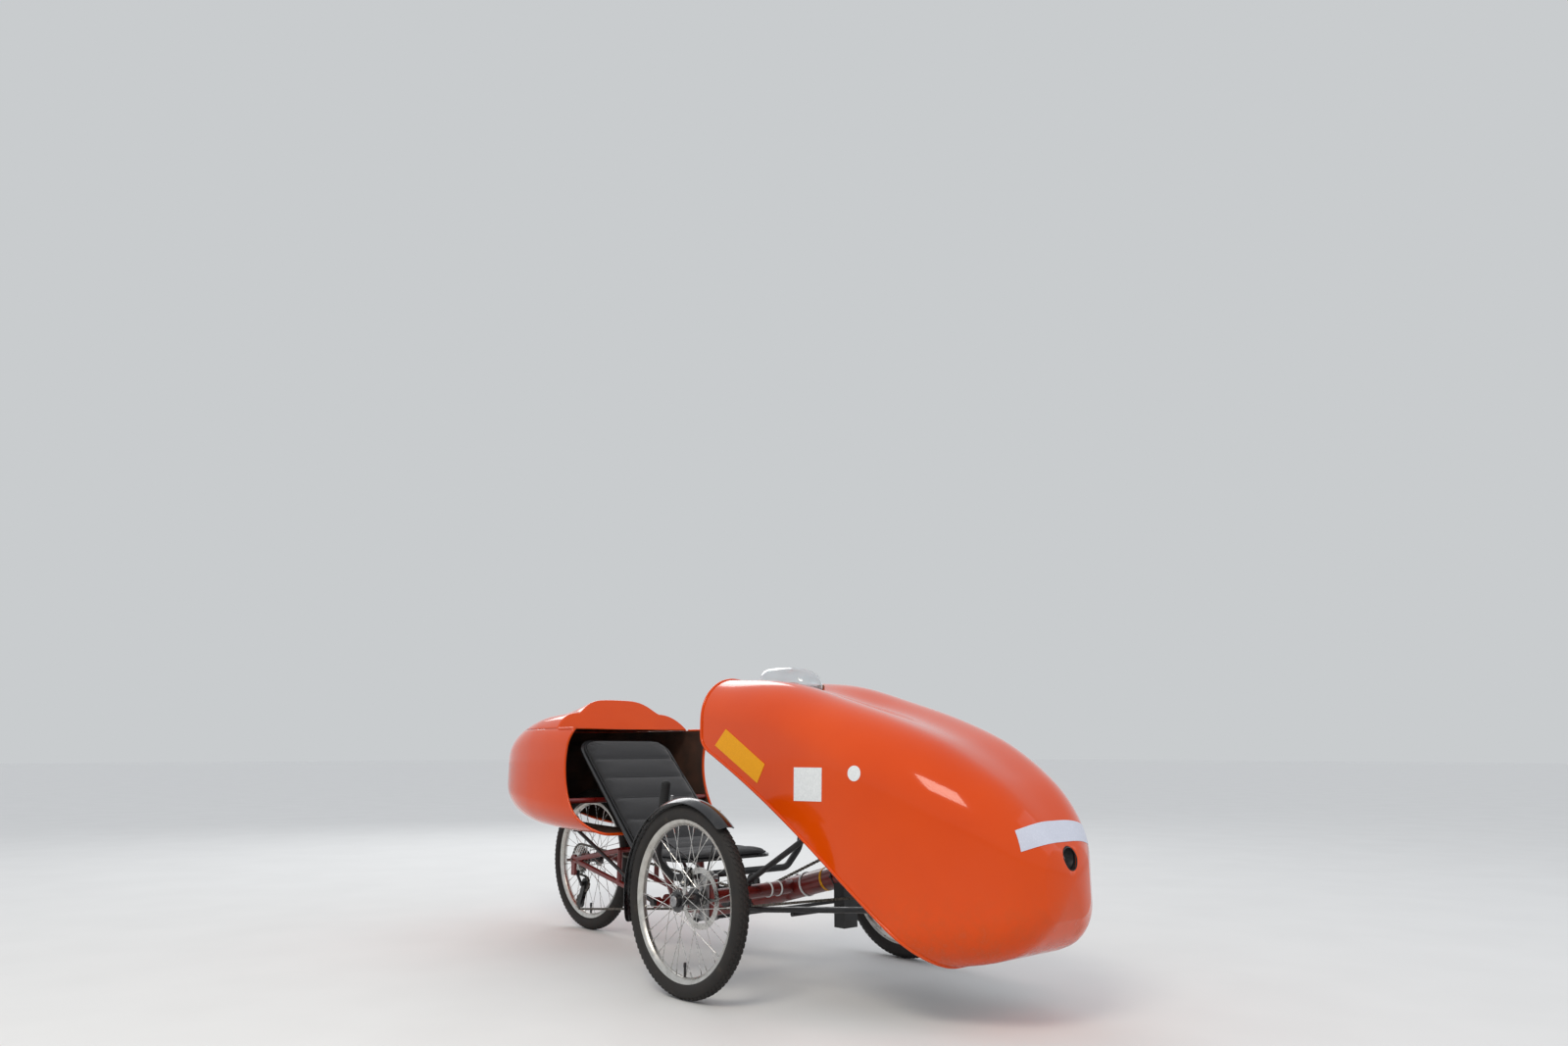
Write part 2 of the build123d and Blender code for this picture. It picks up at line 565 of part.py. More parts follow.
# Shock absorber between the yoke and the backrest stay
SHOCK_TOP_Z = 330
SHOCK_ROD_RADIUS = 7
SHOCK_BODY_RADIUS = 20
SHOCK_DAMPER_RADIUS = 13
SHOCK_COLLAR = 12
COIL_PITCH = 8
COIL_WIRE = 4
with BuildPart() as shock:
    stay_foot = Vector(PIVOT_X, 0, PIVOT_Z)
    stay_along = (Vector(*STAY_TOP) - stay_foot).normalized()
    yoke = Vector(YOKE_X, 0, YOKE_Z)
    stay_point = stay_foot + stay_along * ((SHOCK_TOP_Z - PIVOT_Z) / stay_along.Z)
    along = (stay_point - yoke).normalized()
    slant = abs(along.dot(stay_along))
    front_reach = (STAY_RADIUS + SHOCK_ROD_RADIUS * slant + SEAT_GAP) / sqrt(1 - slant**2)
    shock_rear = yoke + along * (SWINGARM_TUBE + SEAT_GAP)
    shock_front = stay_point - along * front_reach
    rod(shock_rear, shock_front, SHOCK_ROD_RADIUS)
    coil_start = shock_rear + along * SHOCK_COLLAR
    coil_length = (shock_front - shock_rear).length - 2 * SHOCK_COLLAR
    rod(coil_start, coil_start + along * coil_length, SHOCK_DAMPER_RADIUS)
    turns = int(coil_length / COIL_PITCH)
    for turn in range(turns + 1):
        middle = coil_start + along * (coil_length * turn / turns)
        rod(middle - along * COIL_WIRE / 2, middle + along * COIL_WIRE / 2, SHOCK_BODY_RADIUS)
save(shock, "shock_absorber")

# Cranks with the toothed chainring; the pedals turn on the crank ends
CRANK_AXLE_RADIUS = 12
CRANK_ROOT_RADIUS = 20
CRANK_END_RADIUS = 13
PEDAL_AXLE_RADIUS = 7
crank_centre = (BRACKET_X_SHELL, 0, boom_z(BRACKET_X_SHELL))
with BuildPart() as crankset:
    disc(crank_centre, CRANK_AXLE_RADIUS, -CRANK_INNER_Y - 6, CRANK_INNER_Y + 6)
    toothed_ring(crank_centre[0], crank_centre[2], RING_RADIUS, RING_THICKNESS, CHAIN_Y)
    # Five windows leave the arms of the spider
    with BuildSketch(Plane.XZ.offset(-CHAIN_Y)) as windows:
        with Locations((crank_centre[0], crank_centre[2])):
            with PolarLocations(RING_RADIUS * 0.55, 5):
                Trapezoid(46, 34, 78, rotation=-90)
    extrude(windows.sketch, amount=RING_THICKNESS, both=True, mode=Mode.SUBTRACT)
    for s in (-1, 1):
        with BuildSketch(Plane.XZ.offset(-s * CRANK_INNER_Y)) as arm:
            with Locations((crank_centre[0], crank_centre[2])):
                Circle(CRANK_ROOT_RADIUS)
            with Locations((crank_centre[0] - s * CRANK_LENGTH, crank_centre[2])):
                Circle(CRANK_END_RADIUS)
            make_hull()
        extrude(arm.sketch, amount=-s * CRANK_THICKNESS)
        pedal_axle = (crank_centre[0] - s * CRANK_LENGTH, 0, crank_centre[2])
        axle_end_y = CRANK_INNER_Y + CRANK_THICKNESS + PEDAL_LENGTH
        disc(pedal_axle, PEDAL_AXLE_RADIUS, s * CRANK_INNER_Y, s * axle_end_y)
save(crankset, "crankset")

# Pedals: an open frame round a barrel that turns on the crank's axle
PEDAL_WIDTH = 90
PEDAL_HEIGHT = 20
PEDAL_BARREL_RADIUS = 12
PEDAL_GAP = 4
for side_name, s in SIDES:
    pedal_x = crank_centre[0] - s * CRANK_LENGTH
    pedal_inner = CRANK_INNER_Y + CRANK_THICKNESS + PEDAL_GAP
    frame_length = PEDAL_LENGTH - PEDAL_GAP
    pedal_centre = (pedal_x, 0, crank_centre[2])
    with BuildPart() as pedal:
        with BuildSketch(Plane.XY.offset(crank_centre[2] - PEDAL_HEIGHT / 2)):
            with Locations((pedal_x, s * (pedal_inner + frame_length / 2))):
                RectangleRounded(PEDAL_WIDTH, frame_length, 10)
                with Locations((-PEDAL_WIDTH * 0.29, 0), (PEDAL_WIDTH * 0.29, 0)):
                    Rectangle(PEDAL_WIDTH * 0.24, frame_length - 24, mode=Mode.SUBTRACT)
        extrude(amount=PEDAL_HEIGHT)
        disc(pedal_centre, PEDAL_BARREL_RADIUS, s * pedal_inner, s * (pedal_inner + frame_length))
        bore_radius = PEDAL_AXLE_RADIUS + BEARING_GAP
        bore_end_y = s * (pedal_inner + PEDAL_LENGTH)
        disc(pedal_centre, bore_radius, s * (pedal_inner - 1), bore_end_y, mode=Mode.SUBTRACT)
    save(pedal, f"pedal_{side_name}")

# Seat shell: a pan and a reclined back from one bent sheet, with rounded corners
recline = radians(SEAT_RECLINE)
seat_top_z = SEAT_Z + (SEAT_HINGE_X - SEAT_TOP_X) * sin(recline) / cos(recline)

with BuildPart() as seat:
    with BuildSketch(Plane.XZ):
        with BuildLine():
            seat_points = ((SEAT_FRONT_X, SEAT_Z), (SEAT_HINGE_X, SEAT_Z), (SEAT_TOP_X, seat_top_z))
            top_line = FilletPolyline(*seat_points, radius=SEAT_BEND)
            offset(top_line, amount=SEAT_SHELL, side=Side.LEFT)
        make_face()
    extrude(amount=SEAT_WIDTH / 2, both=True)
    fillet(seat.edges().filter_by(lambda e: abs(e.length - SEAT_SHELL) < 0.01), radius=SEAT_CORNER)
save(seat, "seat_shell")

with BuildPart() as seat_pad:
    with BuildSketch(Plane.XZ):
        with BuildLine():
            base_line = FilletPolyline(
                (SEAT_FRONT_X - 8, SEAT_Z + SEAT_GAP),
                (SEAT_HINGE_X + SEAT_GAP * sin(recline / 2), SEAT_Z + SEAT_GAP),
                (SEAT_TOP_X + 8 + SEAT_GAP, seat_top_z - 8 + SEAT_GAP),
                radius=SEAT_BEND - SEAT_GAP,
            )
            offset(base_line, amount=PAD_THICKNESS, side=Side.RIGHT)
        make_face()
    extrude(amount=SEAT_WIDTH / 2 - PAD_INSET, both=True)
    ends = seat_pad.edges().filter_by(lambda e: abs(e.length - PAD_THICKNESS) < 0.01)
    fillet(ends, radius=SEAT_CORNER - PAD_INSET)
save(seat_pad, "seat_pad")


# Fairing sections in straight chords
CORNER_CHORDS = 3
SHOULDER_CHORDS = 4
VALLEY_CHORDS = 3


# Half width of the cuts that go right across a fairing
CROSS_CUT = 500


def arc_chords(centre, radius, start, end, count):
    """Points along an arc after its first one, angles in degrees."""
    angles = [radians(start + (end - start) * k / count) for k in range(1, count + 1)]
    return [(centre[0] + radius * cos(a), centre[1] + radius * sin(a)) for a in angles]


def section(x, half_width, bottom, crest, crest_y, valley, lower_radius, shrink):
    """One crosswise section: flat bottom, round lower corners, sides, round shoulders and a valley."""
    b = half_width - shrink
    low = bottom + shrink
    high = crest - shrink
    dip = valley - shrink
    c = min(crest_y, b * 0.8)
    shoulder = b - c
    corner = max(lower_radius - shrink, 1)
    corner = min(corner, b * 0.9, (high - low - shoulder) * 0.9)
    points = [(0, low), (b - corner, low)]
    points += arc_chords((b - corner, low + corner), corner, -90, 0, CORNER_CHORDS)
    points += [(b, high - shoulder)]
    points += arc_chords((c, high - shoulder), shoulder, 0, 90, SHOULDER_CHORDS)
    for k in range(1, VALLEY_CHORDS + 1):
        share = k / VALLEY_CHORDS
        points.append((c * (1 - share), dip + (high - dip) * (1 + cos(pi * share)) / 2))
    with BuildSketch(Plane(origin=(x, 0, 0), x_dir=(0, 1, 0), z_dir=(1, 0, 0))) as face:
        with BuildLine():
            Polyline(*points)
            mirror(about=Plane.YZ)
        make_face()
    return face.sketch


NOSE_TIP = (NOSE_OVERHANG, 335)


def nose_body(shrink):
    """Full nose form before its rear is cut away, smaller all round by shrink."""
    faces = []
    for x, half_width, bottom, crest, crest_y, valley, lower in NOSE_TABLE:
        faces.append(section(FRONT_X + x, half_width, bottom, crest, crest_y, valley, lower, shrink))
    tip = Vertex(FRONT_X + NOSE_TIP[0] - shrink, 0, NOSE_TIP[1])
    return loft(faces + [tip], ruled=True, mode=Mode.PRIVATE)


# Side view of the nose's rear edge: the lip, its bend and the long slant
NOSE_LIP_X = FRONT_X - 178
NOSE_LIP_Z = 655
SLANT_START = (FRONT_X - 150, 640)
SLANT_MIDDLE = (FRONT_X + 270, 421)
SLANT_END = (FRONT_X + 690, 132)

with BuildPart() as nose:
    add(nose_body(0))
    add(nose_body(WALL), mode=Mode.SUBTRACT)
    with BuildSketch(Plane.XZ):
        with BuildLine():
            Polyline((NOSE_LIP_X, 1000), (NOSE_LIP_X, NOSE_LIP_Z), SLANT_START)
            ThreePointArc(SLANT_START, SLANT_MIDDLE, SLANT_END)
            behind_x = NOSE_LIP_X - 300
            Polyline(SLANT_END, (SLANT_END[0], 0), (behind_x, 0), (behind_x, 1000), (NOSE_LIP_X, 1000))
        make_face()
    extrude(amount=CROSS_CUT, both=True, mode=Mode.SUBTRACT)
    nose_end = FRONT_X + NOSE_OVERHANG
    rod((nose_end - 120, 0, LAMP_Z), (nose_end + 10, 0, LAMP_Z), LAMP_HOLE_RADIUS, mode=Mode.SUBTRACT)
save(nose, "nose_fairing")

TAIL_TIP_Z = 553
TAIL_LAMP_DEPTH = 10
TAIL_LAMP_RADIUS = 24


def tail_section(x, half_width, bottom, lower_radius, side_top, shoulder_y, shoulder_z, head_y, top, shrink):
    """One crosswise section of the tail: flat bottom, sides, oval shoulders and the raised headrest."""
    b = half_width - shrink
    low = bottom + shrink
    corner = lower_radius - shrink
    points = [(0, low), (b - corner, low)]
    points += arc_chords((b - corner, low + corner), corner, -90, 0, CORNER_CHORDS)
    points += [(b, side_top)]
    for k in range(1, SHOULDER_CHORDS + 1):
        turn = pi / 2 * k / SHOULDER_CHORDS
        rise = shoulder_z - shrink - side_top
        points.append((shoulder_y + (b - shoulder_y) * cos(turn), side_top + rise * sin(turn)))
    points += [(head_y, top - shrink), (0, top - shrink)]
    with BuildSketch(Plane(origin=(x, 0, 0), x_dir=(0, 1, 0), z_dir=(1, 0, 0))) as face:
        with BuildLine():
            Polyline(*points)
            mirror(about=Plane.YZ)
        make_face()
    return face.sketch


def tail_body(shrink):
    """Full tail form before it is opened and split, smaller all round by shrink."""
    faces = [tail_section(FRONT_X + row[0], *row[1:], shrink) for row in TAIL_TABLE]
    tip = Vertex(REAR_X - TAIL_OVERHANG + TAIL_LAMP_DEPTH + shrink, 0, TAIL_TIP_Z)
    return loft(faces + [tip], ruled=True, mode=Mode.PRIVATE)


# Side view of the tail's front: the tub's curved edge below the seam, the lid's sloping front wall above it
TUB_EDGE = ((FRONT_X - 716, 366), (FRONT_X - 868, 600), (FRONT_X - 835, SEAM_Z))
LID_FRONT_X = FRONT_X - 950
LID_FRONT_TOP = (FRONT_X - 1030, 850)
AHEAD_X = FRONT_X - 600

# Wheel slot in the tail's floor: centre, length and height
SLOT_CENTRE = (FRONT_X - 1040, 0, 400)
SLOT_LENGTH = 720
SLOT_HEIGHT = 160


def tail_hollow():
    """Space inside the tail, which ends behind the lid's front wall."""
    with BuildPart() as hollow:
        add(tail_body(WALL))
        with BuildSketch(Plane.XZ):
            with BuildLine():
                wall_foot = (LID_FRONT_X - WALL, SEAM_Z)
                wall_top = (LID_FRONT_TOP[0] - WALL, LID_FRONT_TOP[1])
                Polyline(wall_foot, wall_top, (AHEAD_X, wall_top[1]), (AHEAD_X, SEAM_Z), close=True)
            make_face()
        extrude(amount=CROSS_CUT, both=True, mode=Mode.SUBTRACT)
    return hollow.part


def tail_shell():
    """Hollow tail, open in front below the seam, with the wheel slot in its floor."""
    with BuildPart() as shell:
        add(tail_body(0))
        add(tail_hollow(), mode=Mode.SUBTRACT)
        with BuildSketch(Plane.XZ):
            with BuildLine():
                ThreePointArc(*TUB_EDGE)
                below_z = TUB_EDGE[0][1] - 30
                ahead = ((AHEAD_X, LID_FRONT_TOP[1]), (AHEAD_X, below_z), (TUB_EDGE[0][0], below_z))
                Polyline(TUB_EDGE[2], (LID_FRONT_X, SEAM_Z), LID_FRONT_TOP, *ahead, TUB_EDGE[0])
            make_face()
        extrude(amount=CROSS_CUT, both=True, mode=Mode.SUBTRACT)
        with Locations(SLOT_CENTRE):
            Box(SLOT_LENGTH, 2 * SLOT_HALF_WIDTH, SLOT_HEIGHT, mode=Mode.SUBTRACT)
    return shell.part


# Block that holds all of the tail on one side of the seam: its centre on x, and its size
BLOCK_X = FRONT_X - 1150
BLOCK = (1200, 800, 700)

tail_whole = tail_shell()
with BuildPart() as tail_tub:
    add(tail_whole)
    with Locations((BLOCK_X, 0, SEAM_Z)):
        Box(*BLOCK, align=(Align.CENTER, Align.CENTER, Align.MIN), mode=Mode.SUBTRACT)
save(tail_tub, "tail_tub")
with BuildPart() as tail_lid:
    add(tail_whole)
    with Locations((BLOCK_X, 0, SEAM_Z + SEAM_GAP)):
        Box(*BLOCK, align=(Align.CENTER, Align.CENTER, Align.MAX), mode=Mode.SUBTRACT)
save(tail_lid, "tail_lid")

# Windscreen: a small clear dome between the knee crests
DOME_X = FRONT_X - 50
DOME_Z = 822
DOME_LENGTH = 210
DOME_RADIUS = 66
DOME_WALL = 3
DOME_CHORDS = 10
DOME_SKIRT = 22


def dome_edge(length, radius):
    """Points of a half ellipse in side view, from front to rear over the top."""
    angles = [pi * k / DOME_CHORDS for k in range(DOME_CHORDS + 1)]
    return [(DOME_X + length / 2 * cos(a), DOME_Z + radius * sin(a)) for a in angles]


with BuildPart() as windscreen:
    with BuildSketch(Plane.XZ):
        with BuildLine():
            outside = dome_edge(DOME_LENGTH, DOME_RADIUS)
            inside = dome_edge(DOME_LENGTH - 2 * DOME_WALL, DOME_RADIUS - DOME_WALL)
            Polyline(*outside, *reversed(inside), close=True)
        make_face()
    revolve(axis=Axis((DOME_X, 0, DOME_Z), (1, 0, 0)))
    with Locations((DOME_X, 0, DOME_Z - DOME_SKIRT)):
        below = (Align.CENTER, Align.CENTER, Align.MAX)
        Box(2 * DOME_LENGTH, 4 * DOME_RADIUS, 2 * DOME_RADIUS, align=below, mode=Mode.SUBTRACT)
    add(nose_body(-SEAT_GAP), mode=Mode.SUBTRACT)
save(windscreen, "windscreen")

# Head lamp behind the round hole in the nose
with BuildPart() as head_lamp:
    lamp_face = FRONT_X + NOSE_OVERHANG - LAMP_RECESS
    rod((lamp_face - 80, 0, LAMP_Z), (lamp_face, 0, LAMP_Z), LAMP_HOLE_RADIUS - SEAT_GAP)
    rod((lamp_face - 4, 0, LAMP_Z), (lamp_face + 1, 0, LAMP_Z), LAMP_HOLE_RADIUS - 5, mode=Mode.SUBTRACT)
save(head_lamp, "head_lamp")

# Nose supports: a lower and an upper rod on each side, a cross tie and the bracket under the boom
SUPPORT_Y = 205
SUPPORT_RADIUS = 8
SUPPORT_FOOT_RADIUS = 11
LOWER_ROD_START_Z = 202
LOWER_ROD_END = (FRONT_X + 560, 258)
UPPER_ROD_END = (FRONT_X + 400, 505)
BOOM_BRACKET_X = FRONT_X + 170
BOOM_BRACKET_Z = 155
TIE_DROP = 12
root_x = CROSS_ROOT_X + (FRONT_X - CROSS_ROOT_X) * SUPPORT_Y / KINGPIN_Y
tie_share = (BOOM_BRACKET_X - root_x) / (LOWER_ROD_END[0] - root_x)
tie_z = LOWER_ROD_START_Z + tie_share * (LOWER_ROD_END[1] - LOWER_ROD_START_Z)
with BuildPart() as nose_supports:
    for side_name, s in SIDES:
        y = s * SUPPORT_Y
        lower_start = (root_x, y, LOWER_ROD_START_Z)
        lower_end = (LOWER_ROD_END[0], y, LOWER_ROD_END[1])
        upper_start = (root_x, y, cross_z + CROSS_TUBE_RADIUS + SUPPORT_RADIUS + SEAT_GAP)
        upper_end = (UPPER_ROD_END[0], y, UPPER_ROD_END[1])
        rod(lower_start, (root_x, y, cross_z - CROSS_TUBE_RADIUS - SEAT_GAP), SUPPORT_RADIUS + 2)
        rod((root_x, y, cross_z + CROSS_TUBE_RADIUS + SEAT_GAP), upper_start, SUPPORT_RADIUS + 2)
        rod(lower_start, lower_end, SUPPORT_RADIUS)
        rod(upper_start, upper_end, SUPPORT_RADIUS)
        for end in (lower_end, upper_end):
            wall_y = table_value(NOSE_TABLE, end[0] + SUPPORT_FOOT_RADIUS - FRONT_X, 1) - WALL - SEAT_GAP
            disc(end, SUPPORT_FOOT_RADIUS, y - s * SUPPORT_FOOT_RADIUS, s * wall_y)
    disc((BOOM_BRACKET_X, 0, tie_z - TIE_DROP), 6, -SUPPORT_Y, SUPPORT_Y)
    with Locations((BOOM_BRACKET_X, 0, BOOM_BRACKET_Z)):
        Box(40, 52, 140, align=(Align.CENTER, Align.CENTER, Align.MIN))
    boom_solid(BOOM_RADIUS + SEAT_GAP, Mode.SUBTRACT)
    with Locations((BOOM_BRACKET_X, 0, boom_z(BOOM_BRACKET_X))):
        Box(80, 80, 80, align=(Align.CENTER, Align.CENTER, Align.MIN), mode=Mode.SUBTRACT)
save(nose_supports, "nose_supports")

# Tail struts from the swingarm pivot to the floor of the tail
STRUT_FOOT_Y = SWINGARM_Y + 9 + SEAT_GAP
STRUT_TOP = (FRONT_X - 935, 190)
STRUT_RADIUS = 6
with BuildPart() as tail_struts:
    floor_z = table_value(TAIL_TABLE, STRUT_TOP[0] + 14 - FRONT_X, 2) - SEAT_GAP
    for side_name, s in SIDES:
        foot = (PIVOT_X, s * (STRUT_FOOT_Y + 6), PIVOT_Z)
        top = (STRUT_TOP[0], s * STRUT_TOP[1], floor_z - 5)
        disc(foot, 12, s * STRUT_FOOT_Y, s * (STRUT_FOOT_Y + 12))
        rod(foot, top, STRUT_RADIUS)
        with Locations((STRUT_TOP[0], s * STRUT_TOP[1], floor_z)):
            Box(28, 28, 6, align=(Align.CENTER, Align.CENTER, Align.MAX))
        with Locations((STRUT_TOP[0], s * STRUT_TOP[1], floor_z)):
            Box(60, 60, 30, align=(Align.CENTER, Align.CENTER, Align.MIN), mode=Mode.SUBTRACT)
save(tail_struts, "tail_struts")

# Chain: x, z, radius and turning sense of each wheel that it runs round, in its own direction of travel
CHAIN_WHEELS = (
    (crank_centre[0], crank_centre[2], RING_RADIUS, 1),
    (*UPPER_IDLER, IDLER_RADIUS, -1),
    (REAR_X, WHEEL_RADIUS, SPROCKET_RADIUS, 1),
    (*GUIDE_PULLEY, JOCKEY_RADIUS, -1),
    (*TENSION_PULLEY, JOCKEY_RADIUS, 1),
    (*LOWER_IDLER, IDLER_RADIUS, 1),
)


def chain_edge(distance):
    """Closed line round all chain wheels, at a distance from the chain's inner edge."""
    circles = []
    for x, z, radius, sense in CHAIN_WHEELS:
        path_radius = radius + CHAIN_GAP + (distance if sense > 0 else CHAIN_THICKNESS - distance)
        circles.append((Vector(x, z), sense * path_radius, sense))
    headings = []
    for (c1, r1, s1), (c2, r2, s2) in zip(circles, circles[1:] + circles[:1]):
        across = c2 - c1
        headings.append(atan2(across.Y, across.X) - asin((r2 - r1) / across.length))
    for index, (c, r, sense) in enumerate(circles):
        arrive, leave = headings[index - 1], headings[index]
        turn = sense * ((sense * (leave - arrive)) % (2 * pi))
        on_circle = [c - Vector(-sin(a), cos(a)) * r for a in (arrive, arrive + turn / 2, leave)]
        ThreePointArc(*on_circle)
        c2, r2, s2 = circles[(index + 1) % len(circles)]
        Line(on_circle[2], c2 - Vector(-sin(leave), cos(leave)) * r2)


with BuildPart() as chain:
    with BuildSketch(Plane.XZ.offset(-CHAIN_Y)):
        with BuildLine():
            chain_edge(CHAIN_THICKNESS)
        make_face()
        with BuildLine():
            chain_edge(0)
        make_face(mode=Mode.SUBTRACT)
    extrude(amount=CHAIN_WIDTH / 2, both=True)
    # Groove between the side plates for the teeth
    with BuildSketch(Plane.XZ.offset(-CHAIN_Y)):
        with BuildLine():
            chain_edge(GROOVE_DEPTH)
        make_face()
        with BuildLine():
            chain_edge(-SEAT_GAP)
        make_face(mode=Mode.SUBTRACT)
    extrude(amount=GROOVE_WIDTH / 2, both=True, mode=Mode.SUBTRACT)
save(chain, "chain")

# Chain idlers on a plate beside the boom
with BuildPart() as idlers:
    for x, z in (UPPER_IDLER, LOWER_IDLER):
        disc((x, 0, z), IDLER_RADIUS, CHAIN_Y - IDLER_WIDTH / 2, CHAIN_Y + IDLER_WIDTH / 2)
        disc((x, 0, z), 7, CHAIN_Y - 8, CHAIN_Y + 12)
    plate_middle = (Vector(*UPPER_IDLER) + Vector(*LOWER_IDLER)) * 0.5
    plate_along = Vector(*UPPER_IDLER) - Vector(*LOWER_IDLER)
    with BuildSketch(Plane.XZ.offset(-(CHAIN_Y + 8))):
        plate_turn = degrees(atan2(plate_along.Y, plate_along.X))
        with Locations(Location((plate_middle.X, plate_middle.Y, 0), (0, 0, plate_turn))):
            SlotCenterToCenter(plate_along.length, 24)
    extrude(amount=-4)
    disc((plate_middle.X, 0, boom_z(plate_middle.X)), 11, CHAIN_Y + 8, 0)
    boom_solid(BOOM_RADIUS + SEAT_GAP, Mode.SUBTRACT)
save(idlers, "chain_idlers")

# Derailleur: pivot on the hanger, cage plates and two pulleys
with BuildPart() as derailleur:
    hanger = (REAR_X + 2, 0, WHEEL_RADIUS - HANGER_DROP)
    hanger_face = -SWINGARM_Y + 5 + SEAT_GAP
    disc(hanger, 9, hanger_face, hanger_face + 13)
    arm_y = hanger_face + 6
    rod((hanger[0], arm_y, hanger[2]), (GUIDE_PULLEY[0], arm_y, GUIDE_PULLEY[1]), 5)
    cage_middle = (Vector(*GUIDE_PULLEY) + Vector(*TENSION_PULLEY)) * 0.5
    cage_along = Vector(*GUIDE_PULLEY) - Vector(*TENSION_PULLEY)
    cage_turn = degrees(atan2(cage_along.Y, cage_along.X))
    cage_place = Location((cage_middle.X, cage_middle.Y, 0), (0, 0, cage_turn))
    for cage_y in (CHAIN_Y - 8, CHAIN_Y + 6):
        with BuildSketch(Plane.XZ.offset(-cage_y)):
            with Locations(cage_place):
                SlotCenterToCenter(cage_along.length, 20)
        extrude(amount=-2)
    for x, z in (GUIDE_PULLEY, TENSION_PULLEY):
        disc((x, 0, z), JOCKEY_RADIUS, CHAIN_Y - 3, CHAIN_Y + 3)
        disc((x, 0, z), 5, CHAIN_Y - 8, CHAIN_Y + 8)
    disc((GUIDE_PULLEY[0], 0, GUIDE_PULLEY[1]), 7, hanger_face + 3, CHAIN_Y - 7)
save(derailleur, "derailleur")

# Tail lamp on the blunt rear end
with BuildPart() as tail_lamp:
    lamp_end = REAR_X - TAIL_OVERHANG
    rod((lamp_end, 0, TAIL_TIP_Z), (lamp_end + 2 * TAIL_LAMP_DEPTH, 0, TAIL_TIP_Z), TAIL_LAMP_RADIUS)
    add(tail_body(-SEAT_GAP), mode=Mode.SUBTRACT)
save(tail_lamp, "tail_lamp")

# Brake levers: a collar under each grip and a blade in front of it
LEVER_RADIUS = 4
LEVER_REACH = 34
with BuildPart() as brake_levers:
    for side_name, s in SIDES:
        foot = Vector(BAR_X, s * BAR_HALF_WIDTH, BAR_Z + 60)
        top = Vector(BAR_X + GRIP_LEAN, s * BAR_HALF_WIDTH, GRIP_TOP_Z)
        along = (top - foot).normalized()
        forward = Vector(along.Z, 0, -along.X)
        collar = top - along * (GRIP_LENGTH + 16)
        rod(collar, collar + along * 15, BAR_RADIUS + 6)
        elbow = collar + along * 7 + forward * LEVER_REACH
        rod(collar + along * 7, elbow, LEVER_RADIUS)
        rod(elbow, elbow + along * 95 + forward * 4, LEVER_RADIUS)
        with Locations(elbow, elbow + along * 95 + forward * 4):
            Sphere(LEVER_RADIUS)
        rod(collar - along, collar + along * 16, BAR_RADIUS + SEAT_GAP, mode=Mode.SUBTRACT)
save(brake_levers, "brake_levers")
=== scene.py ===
import bpy, bmesh, json, math
from math import pi, sin, cos, radians, sqrt
from mathutils import Vector, Matrix, Euler
from mathutils.bvhtree import BVHTree


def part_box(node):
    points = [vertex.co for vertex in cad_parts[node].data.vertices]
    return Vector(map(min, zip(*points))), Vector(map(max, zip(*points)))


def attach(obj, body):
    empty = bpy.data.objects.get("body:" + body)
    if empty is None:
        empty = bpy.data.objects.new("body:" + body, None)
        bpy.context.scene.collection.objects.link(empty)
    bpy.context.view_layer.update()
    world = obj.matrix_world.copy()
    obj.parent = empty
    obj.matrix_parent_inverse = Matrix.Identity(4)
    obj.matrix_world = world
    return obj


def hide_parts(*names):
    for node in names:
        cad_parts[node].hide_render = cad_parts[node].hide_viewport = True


# Partly faired tadpole velomobile. All lengths in metres, in the frame's axes: +X forward, +Y left, +Z up.
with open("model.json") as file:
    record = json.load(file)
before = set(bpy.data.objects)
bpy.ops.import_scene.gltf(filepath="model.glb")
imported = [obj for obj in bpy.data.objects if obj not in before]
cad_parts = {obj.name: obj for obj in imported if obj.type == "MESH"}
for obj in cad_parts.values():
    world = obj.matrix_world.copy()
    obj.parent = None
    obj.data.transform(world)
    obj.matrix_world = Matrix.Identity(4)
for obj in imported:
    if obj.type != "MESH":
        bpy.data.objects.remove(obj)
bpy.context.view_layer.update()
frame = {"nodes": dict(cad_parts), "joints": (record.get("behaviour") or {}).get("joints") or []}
nodes = frame["nodes"]
joints = {j["name"]: j for j in frame["joints"]}

# Main places, read from the frame
tyre_low, tyre_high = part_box("tyre_front_right")
WHEEL_R = tyre_high.z / 2
FX = (tyre_low.x + tyre_high.x) / 2
TRACK_Y = -(tyre_low.y + tyre_high.y) / 2
rear_low, rear_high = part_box("tyre_rear")
RX = (rear_low.x + rear_high.x) / 2
CRANK = Vector(joints["crank_spin"]["pos_m"])
KINGPIN_Y = joints["steer_left"]["pos_m"][1]
SIDES = (("right", -1), ("left", 1))


# Materials
NOISE = ("ShaderNodeTexNoise", "Fac")
CELLS = ("ShaderNodeTexVoronoi", "Distance")
WAVES = ("ShaderNodeTexWave", "Fac")


def srgb(code):
    """Linear colour from an sRGB hex code."""
    parts = [int(code[i:i + 2], 16) / 255 for i in (0, 2, 4)]
    return tuple([c / 12.92 if c <= 0.04045 else ((c + 0.055) / 1.055) ** 2.4 for c in parts] + [1.0])


